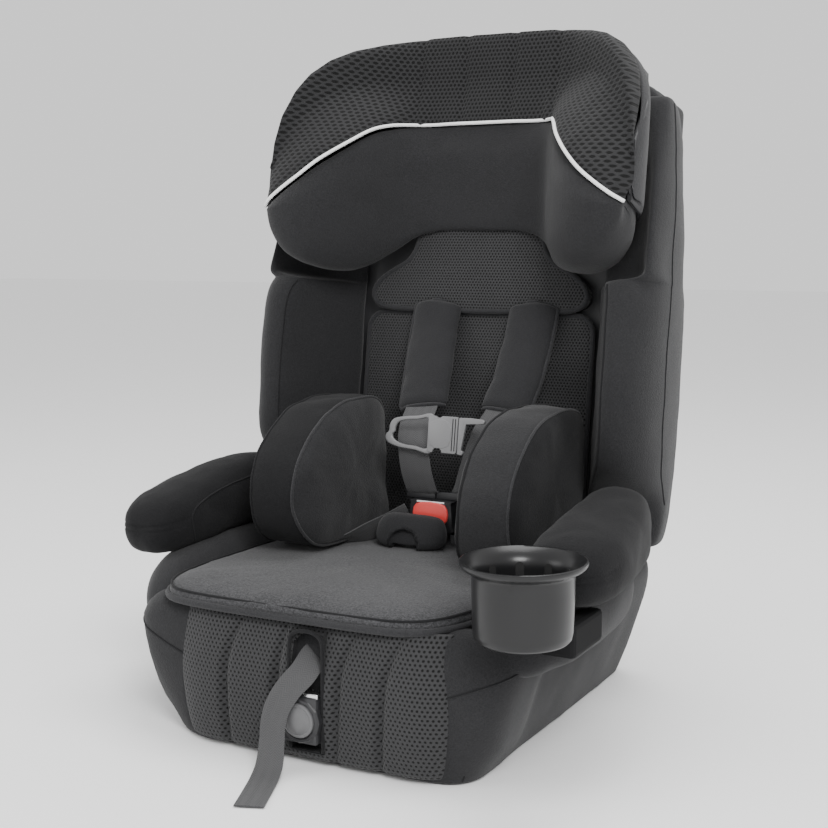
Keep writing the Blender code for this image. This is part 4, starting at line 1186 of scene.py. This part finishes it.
# Crotch strap, buckle and tongues: a short strap from the base carries a black buckle with a red
# push button; two tongues from the straps plug in at its top, and a padded sleeve sits in front.
black_plastic = moulded("black_plastic", (0.010, 0.010, 0.011), (0.022, 0.022, 0.024), 0.40)
button_red = moulded("red_button_plastic", (0.62, 0.050, 0.045), (0.78, 0.085, 0.075), 0.34)
crotch, _ = ribbon("crotch_webbing", ((0.002, 0.050, 0.1530), (0.002, 0.050, 0.160), (0.002, 0.0495, 0.1690)),
                   [(1.0, 0.0, 0.0)] * 3, 0.034, 0.0018, webbing_look, "base")
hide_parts("crotch_strap")
body_outline = smooth_path([(-0.0195, 0.0, 0.1700), (0.0255, 0.0, 0.1700), (0.0275, 0.0, 0.178),
                            (0.0262, 0.0, 0.1995),
                            (0.0235, 0.0, 0.2020), (-0.0175, 0.0, 0.2020), (-0.0202, 0.0, 0.1995),
                            (-0.0215, 0.0, 0.178)],
                           4, closed=True)
buckle = hard_piece("buckle_case", plate([(p.x, p.z) for p in body_outline], 0.0352, 0.0602, 0.0026),
                    black_plastic,
                    "base", tilt=False)
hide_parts("buckle_body")
well = smooth_path([(-0.0135, 0.0, 0.1790), (0.0195, 0.0, 0.1790), (0.0195, 0.0, 0.1990),
                    (-0.0135, 0.0, 0.1990)], 4,
                   closed=True)
press = hard_piece("buckle_press", plate([(p.x, p.z) for p in well], 0.0330, 0.0395, 0.0016), button_red,
                   "buckle_button", tilt=False)
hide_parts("buckle_button")
# A pale strip, as wide as the button, painted along the case's top edge just above it: a painted highlight.
buckle_highlight_paint = moulded("buckle_painted_highlight", (0.70, 0.70, 0.70), (0.82, 0.82, 0.82), 0.45)
hard_piece("buckle_top_painted_highlight", plate([(-0.0130, 0.2005), (0.0190, 0.2005), (0.0190, 0.2022), (-0.0130, 0.2022)],
                                    0.0346, 0.0356, 0.0002), buckle_highlight_paint, "base", tilt=False)
for word, low, high in (("left", 0.0035, 0.0380), ("right", -0.0320, 0.0025)):
    bm = bmesh.new()
    bmesh.ops.create_cube(bm, size=1.0)
    for vert in bm.verts:
        vert.co = Vector(((low + high) / 2 + vert.co.x * (high - low), 0.0485 + vert.co.y * 0.0034,
                          0.2062 + vert.co.z * 0.0086))
    bmesh.ops.bevel(bm, geom=bm.edges[:], offset=0.0012, segments=3, profile=0.5, affect="EDGES", material=-1)
    tongue = hard_piece("buckle_tongue_cover_" + word, bm, black_plastic, "base", tilt=False)
    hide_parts("buckle_tongue_" + word)

rings = []
for z, y, half, thick in ((0.1540, 0.0150, 0.020, 0.006), (0.1550, 0.0148, 0.0330, 0.0105),
                          (0.1600, 0.0150, 0.0400, 0.0130),
                          (0.1680, 0.0165, 0.0410, 0.0125), (0.1760, 0.0180, 0.0395, 0.0110),
                          (0.1830, 0.0200, 0.0365, 0.0090), (0.1875, 0.0215, 0.0310, 0.0065),
                          (0.1890, 0.0225, 0.0180, 0.0030)):
    ring = []
    for k in range(32):
        angle = 2 * pi * k / 32
        c, s = cos(angle), sin(angle)
        u = half * abs(c) ** 0.70 * (1 if c >= 0 else -1)
        v = thick * abs(s) ** 0.80 * (1 if s >= 0 else -1)
        ring.append(Vector((-0.0120 + u, y + v + 0.004 * (u / half) ** 2, z)))
    rings.append(ring)
crotch_pad = cloth_piece("crotch_pad_sleeve", loft(rings), fine_knit, levels=2)


def arch(point, normal):
    """The sewn-in hollow that the crotch strap passes through."""
    near = ((point.x + 0.014) / 0.017) ** 2 + ((point.z - 0.160) / 0.016) ** 2
    edge = max(0.0, 1 - abs(sqrt(near) - 1) / 0.16)
    return (-0.0050 if near < 1 and normal.y < 0 else 0.0) + 0.0008 * edge + puckers(point, 0.020, 0.0010)


push(crotch_pad, arch)
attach(crotch_pad, "base")
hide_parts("crotch_pad")
opening = [Vector((-0.014 + 0.0172 * cos(a * pi / 12), -0.1,
                   0.160 + 0.0162 * sin(a * pi / 12))) for a in range(-2, 15)]
path = []
for point in opening:
    hit, spot, normal, _ = crotch_pad.ray_cast(point, Vector((0, 1, 0)))
    if hit:
        path.append(spot + normal * 0.0002)
cord_trim("crotch_pad_welt", path, 0.0012, edge_knit)

for side, word in ((1, "left"), (-1, "right")):
    path = [(side * 0.031 + 0.003, 0.048, 0.1830), (side * 0.046, 0.038, 0.1735), (side * 0.062, 0.024, 0.1670),
            (side * 0.078, 0.010, 0.1605), (side * 0.094, 0.001, 0.1566), (side * 0.120, -0.004, 0.1552),
            (side * 0.150, -0.004, 0.1548)]
    widths = [(0.0, -0.35, 0.94), (0.0, -0.55, 0.83), (0.0, -0.75, 0.66), (0.0, -0.90, 0.42),
              (0.0, -0.97, 0.20),
              (0.0, -1.0, 0.05), (0.0, -1.0, 0.0)]
    lap, _ = ribbon("lap_webbing_" + word, path, widths, 0.030, 0.0020, webbing_look, "base")
    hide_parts("lap_strap_" + word)


# Harness adjuster: a black housing in the panel's slot, a grey press button with a faceted rim, and a
# bright cam above it that grips the strap.
button_grey = moulded("adjuster_grey_plastic", (0.075, 0.075, 0.077), (0.115, 0.115, 0.118), 0.34)
bright_steel = moulded("bright_steel", (0.62, 0.62, 0.63), (0.78, 0.78, 0.79), 0.24, metallic=1.0, grain=500.0)


def turned(profile, centre, axis, parts, look, name, body, stretch=1.0, smooth=35.0):
    """A round moulding spun from a profile of radius and height."""
    bm = bmesh.new()
    verts = [bm.verts.new((radius, 0.0, height)) for radius, height in profile]
    edges = [bm.edges.new(pair) for pair in zip(verts, verts[1:])]
    bmesh.ops.spin(bm, geom=verts + edges, cent=(0, 0, 0), axis=(0, 0, 1), angle=2 * pi, steps=parts,
                   use_merge=True)
    bmesh.ops.remove_doubles(bm, verts=bm.verts, dist=0.00001)
    bmesh.ops.recalc_face_normals(bm, faces=bm.faces)
    for vert in bm.verts:
        x, y, z = vert.co
        vert.co = Vector(centre) + (Vector((x, -z, y)) if axis == "Y" else Vector((x, y * stretch, z)))
    bmesh.ops.recalc_face_normals(bm, faces=bm.faces)
    made = cloth_piece(name, bm, look, levels=0, smooth=smooth)
    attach(made, body)
    return made


press = turned([(0.0001, 0.0073), (0.0060, 0.0075), (0.0108, 0.0072), (0.0128, 0.0062), (0.0142, 0.0066),
                (0.0156, 0.0058), (0.0163, 0.0040), (0.0164, -0.0060), (0.0001, -0.0060)],
               (0.002, -0.2190, 0.046), "Y", 56, button_grey, "adjuster_press", "adjuster_button")
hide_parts("adjuster_button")
bezel = turned([(0.0170, -0.0030), (0.0171, 0.0040), (0.0178, 0.0050), (0.0202, 0.0046), (0.0214, 0.0030),
                (0.0216, -0.0020), (0.0205, -0.0030), (0.0170, -0.0030)],
               (0.002, -0.2190, 0.046), "Y", 12, black_plastic, "adjuster_bezel", "base",
               smooth=12.0)
bezel.scale = (1, 1, 1)
coat_node("adjuster_housing", black_plastic)
coat_node("adjuster_cam", bright_steel)
bm = bmesh.new()
bmesh.ops.create_cube(bm, size=1.0)
for vert in bm.verts:
    vert.co = Vector((0.0125 + vert.co.x * 0.015, -0.2165 + vert.co.y * 0.007, 0.0690 + vert.co.z * 0.0048))
bmesh.ops.bevel(bm, geom=bm.edges[:], offset=0.0011, segments=3, profile=0.5, affect="EDGES", material=-1)
hard_piece("adjuster_cam_lip", bm, bright_steel, "base", tilt=False)

# Adjuster strap: the free tail of the harness webbing, which hangs from the adjuster on to the floor.
tail_path = [(0.008, -0.192, 0.103), (0.007, -0.205, 0.100), (0.003, -0.217, 0.088), (-0.006, -0.2245, 0.076),
             (-0.015, -0.2290, 0.060), (-0.019, -0.2320, 0.044), (-0.018, -0.2365, 0.026),
             (-0.015, -0.245, 0.0105),
             (-0.011, -0.258, 0.0034), (-0.003, -0.280, 0.0014), (0.010, -0.314, 0.0014)]
tail_ways = [(0.6, -0.2, -0.8), (0.8, -0.2, -0.6), (1.0, 0.0, -0.5), (1.0, 0.0, -0.2), (1.0, 0.0, 0.0),
             (1.0, 0.0, 0.0), (1.0, 0.0, 0.0), (1.0, 0.10, 0.0), (1.0, 0.22, 0.0), (1.0, 0.30, 0.0),
             (1.0, 0.32, 0.0)]
tail, line = ribbon("adjuster_strap_tail", tail_path, tail_ways, 0.0265, 0.0017, webbing_look, "base")
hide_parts("adjuster_strap")
length = sum((b - a).length for a, b in zip(line, line[1:]))


# Cup holder: a black moulded cup with a wide rolled lip and slots in its inner wall, on a moulded
# bracket beside the left armrest.
gloss_black = moulded("gloss_black_plastic", (0.006, 0.006, 0.0065), (0.010, 0.010, 0.0105), 0.30, coat=0.0,
                      depth=0.00004, shine=0.36)
CUP = ((0.0001, 0.1487), (0.030, 0.1477), (0.0378, 0.1481), (0.0400, 0.1505), (0.0410, 0.1555),
       (0.0415, 0.1700),
       (0.0420, 0.1900), (0.0422, 0.2030), (0.0427, 0.2052), (0.0450, 0.2068), (0.0490, 0.2084),
       (0.0518, 0.2108),
       (0.0527, 0.2128), (0.0524, 0.2146), (0.0510, 0.2152), (0.0492, 0.2142), (0.0458, 0.2112),
       (0.0422, 0.2075),
       (0.0404, 0.2030), (0.0399, 0.1975), (0.0396, 0.1700), (0.0390, 0.1570), (0.0368, 0.1530),
       (0.0001, 0.1526))
cup = turned(CUP, (0.2160, -0.216, 0.0), "Z", 72, gloss_black, "cup_holder_cup", "base",
             stretch=1.06,
             smooth=50.0)
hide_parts("cup_holder")
# The slots are dark boxes laid on the inner wall: painted shadow where the openings are.
painted_slot_shadow = moulded("slot_shadow", (0.0012, 0.0012, 0.0012), (0.002, 0.002, 0.002), 0.8)
for k in range(10):
    angle = 2 * pi * (k + 0.30) / 10
    bm = bmesh.new()
    bmesh.ops.create_cube(bm, size=1.0)
    for vert in bm.verts:
        vert.co = Vector((vert.co.x * 0.0012, vert.co.y * 0.0072, vert.co.z * 0.0210))
    bmesh.ops.bevel(bm, geom=[e for e in bm.edges if abs((e.verts[0].co - e.verts[1].co).x) > 0.001],
                    offset=0.0036,
                    segments=6, profile=0.5, affect="EDGES", material=-1)
    bmesh.ops.subdivide_edges(bm,
                              edges=[e for e in bm.edges if abs((e.verts[0].co - e.verts[1].co).z) > 0.008],
                              cuts=5)
    turn = Matrix.Rotation(angle, 4, "Z")
    for vert in bm.verts:
        height = 0.1932 + vert.co.z
        wall = 0.0396 + 0.0003 * (height - 0.1700) / 0.0275 + 0.0004 * max(0.0, (height - 0.1975) / 0.0055)
        spot = turn @ Vector((wall + vert.co.x - vert.co.y ** 2 / 0.09, vert.co.y, 0.0))
        vert.co = Vector((0.2160 + spot.x, -0.216 + spot.y * 1.06, height))
    hard_piece("cup_slot_%d" % (k + 1), bm, painted_slot_shadow, "base", tilt=False)
bracket_black = moulded("bracket_plastic", (0.006, 0.006, 0.0065), (0.010, 0.010, 0.0105), 0.80, shine=0.12)
coat_node("cup_holder_bracket", bracket_black)


# Moulded structure: black polypropylene base tub and back shell, hinge brackets with steel pins, and the
# headrest's shell, carrier and release grip.
shell_black = moulded("shell_polypropylene", (0.012, 0.012, 0.013), (0.030, 0.030, 0.032), 0.48, grain=1100.0,
                      depth=0.00018)
for name in ("base_shell", "back_shell", "recline_bracket_left", "recline_bracket_right", "headrest_shell",
             "headrest_carrier"):
    coat_node(name, shell_black)
for name in ("recline_pin_left", "recline_pin_right"):
    coat_node(name, steel)
coat_node("headrest_release", button_grey)
for number, (x0, x1, z0, z1) in enumerate(((-0.004, 0.004, 0.430, 0.640), (-0.120, -0.112, 0.165, 0.640),
                                           (0.112, 0.120, 0.165, 0.640), (-0.190, 0.190, 0.440, 0.447),
                                           (-0.190, 0.190, 0.330, 0.336), (-0.190, 0.190, 0.540, 0.547),
                                           (-0.190, 0.190, 0.215, 0.221))):
    rib = plate([(x0, z0), (x1, z0), (x1, z1), (x0, z1)], 0.0150, 0.0215 if x1 - x0 < 0.1 else 0.0205, 0.0012)
    hard_piece("shell_rib_%d" % (number + 1), rib, shell_black, "back")
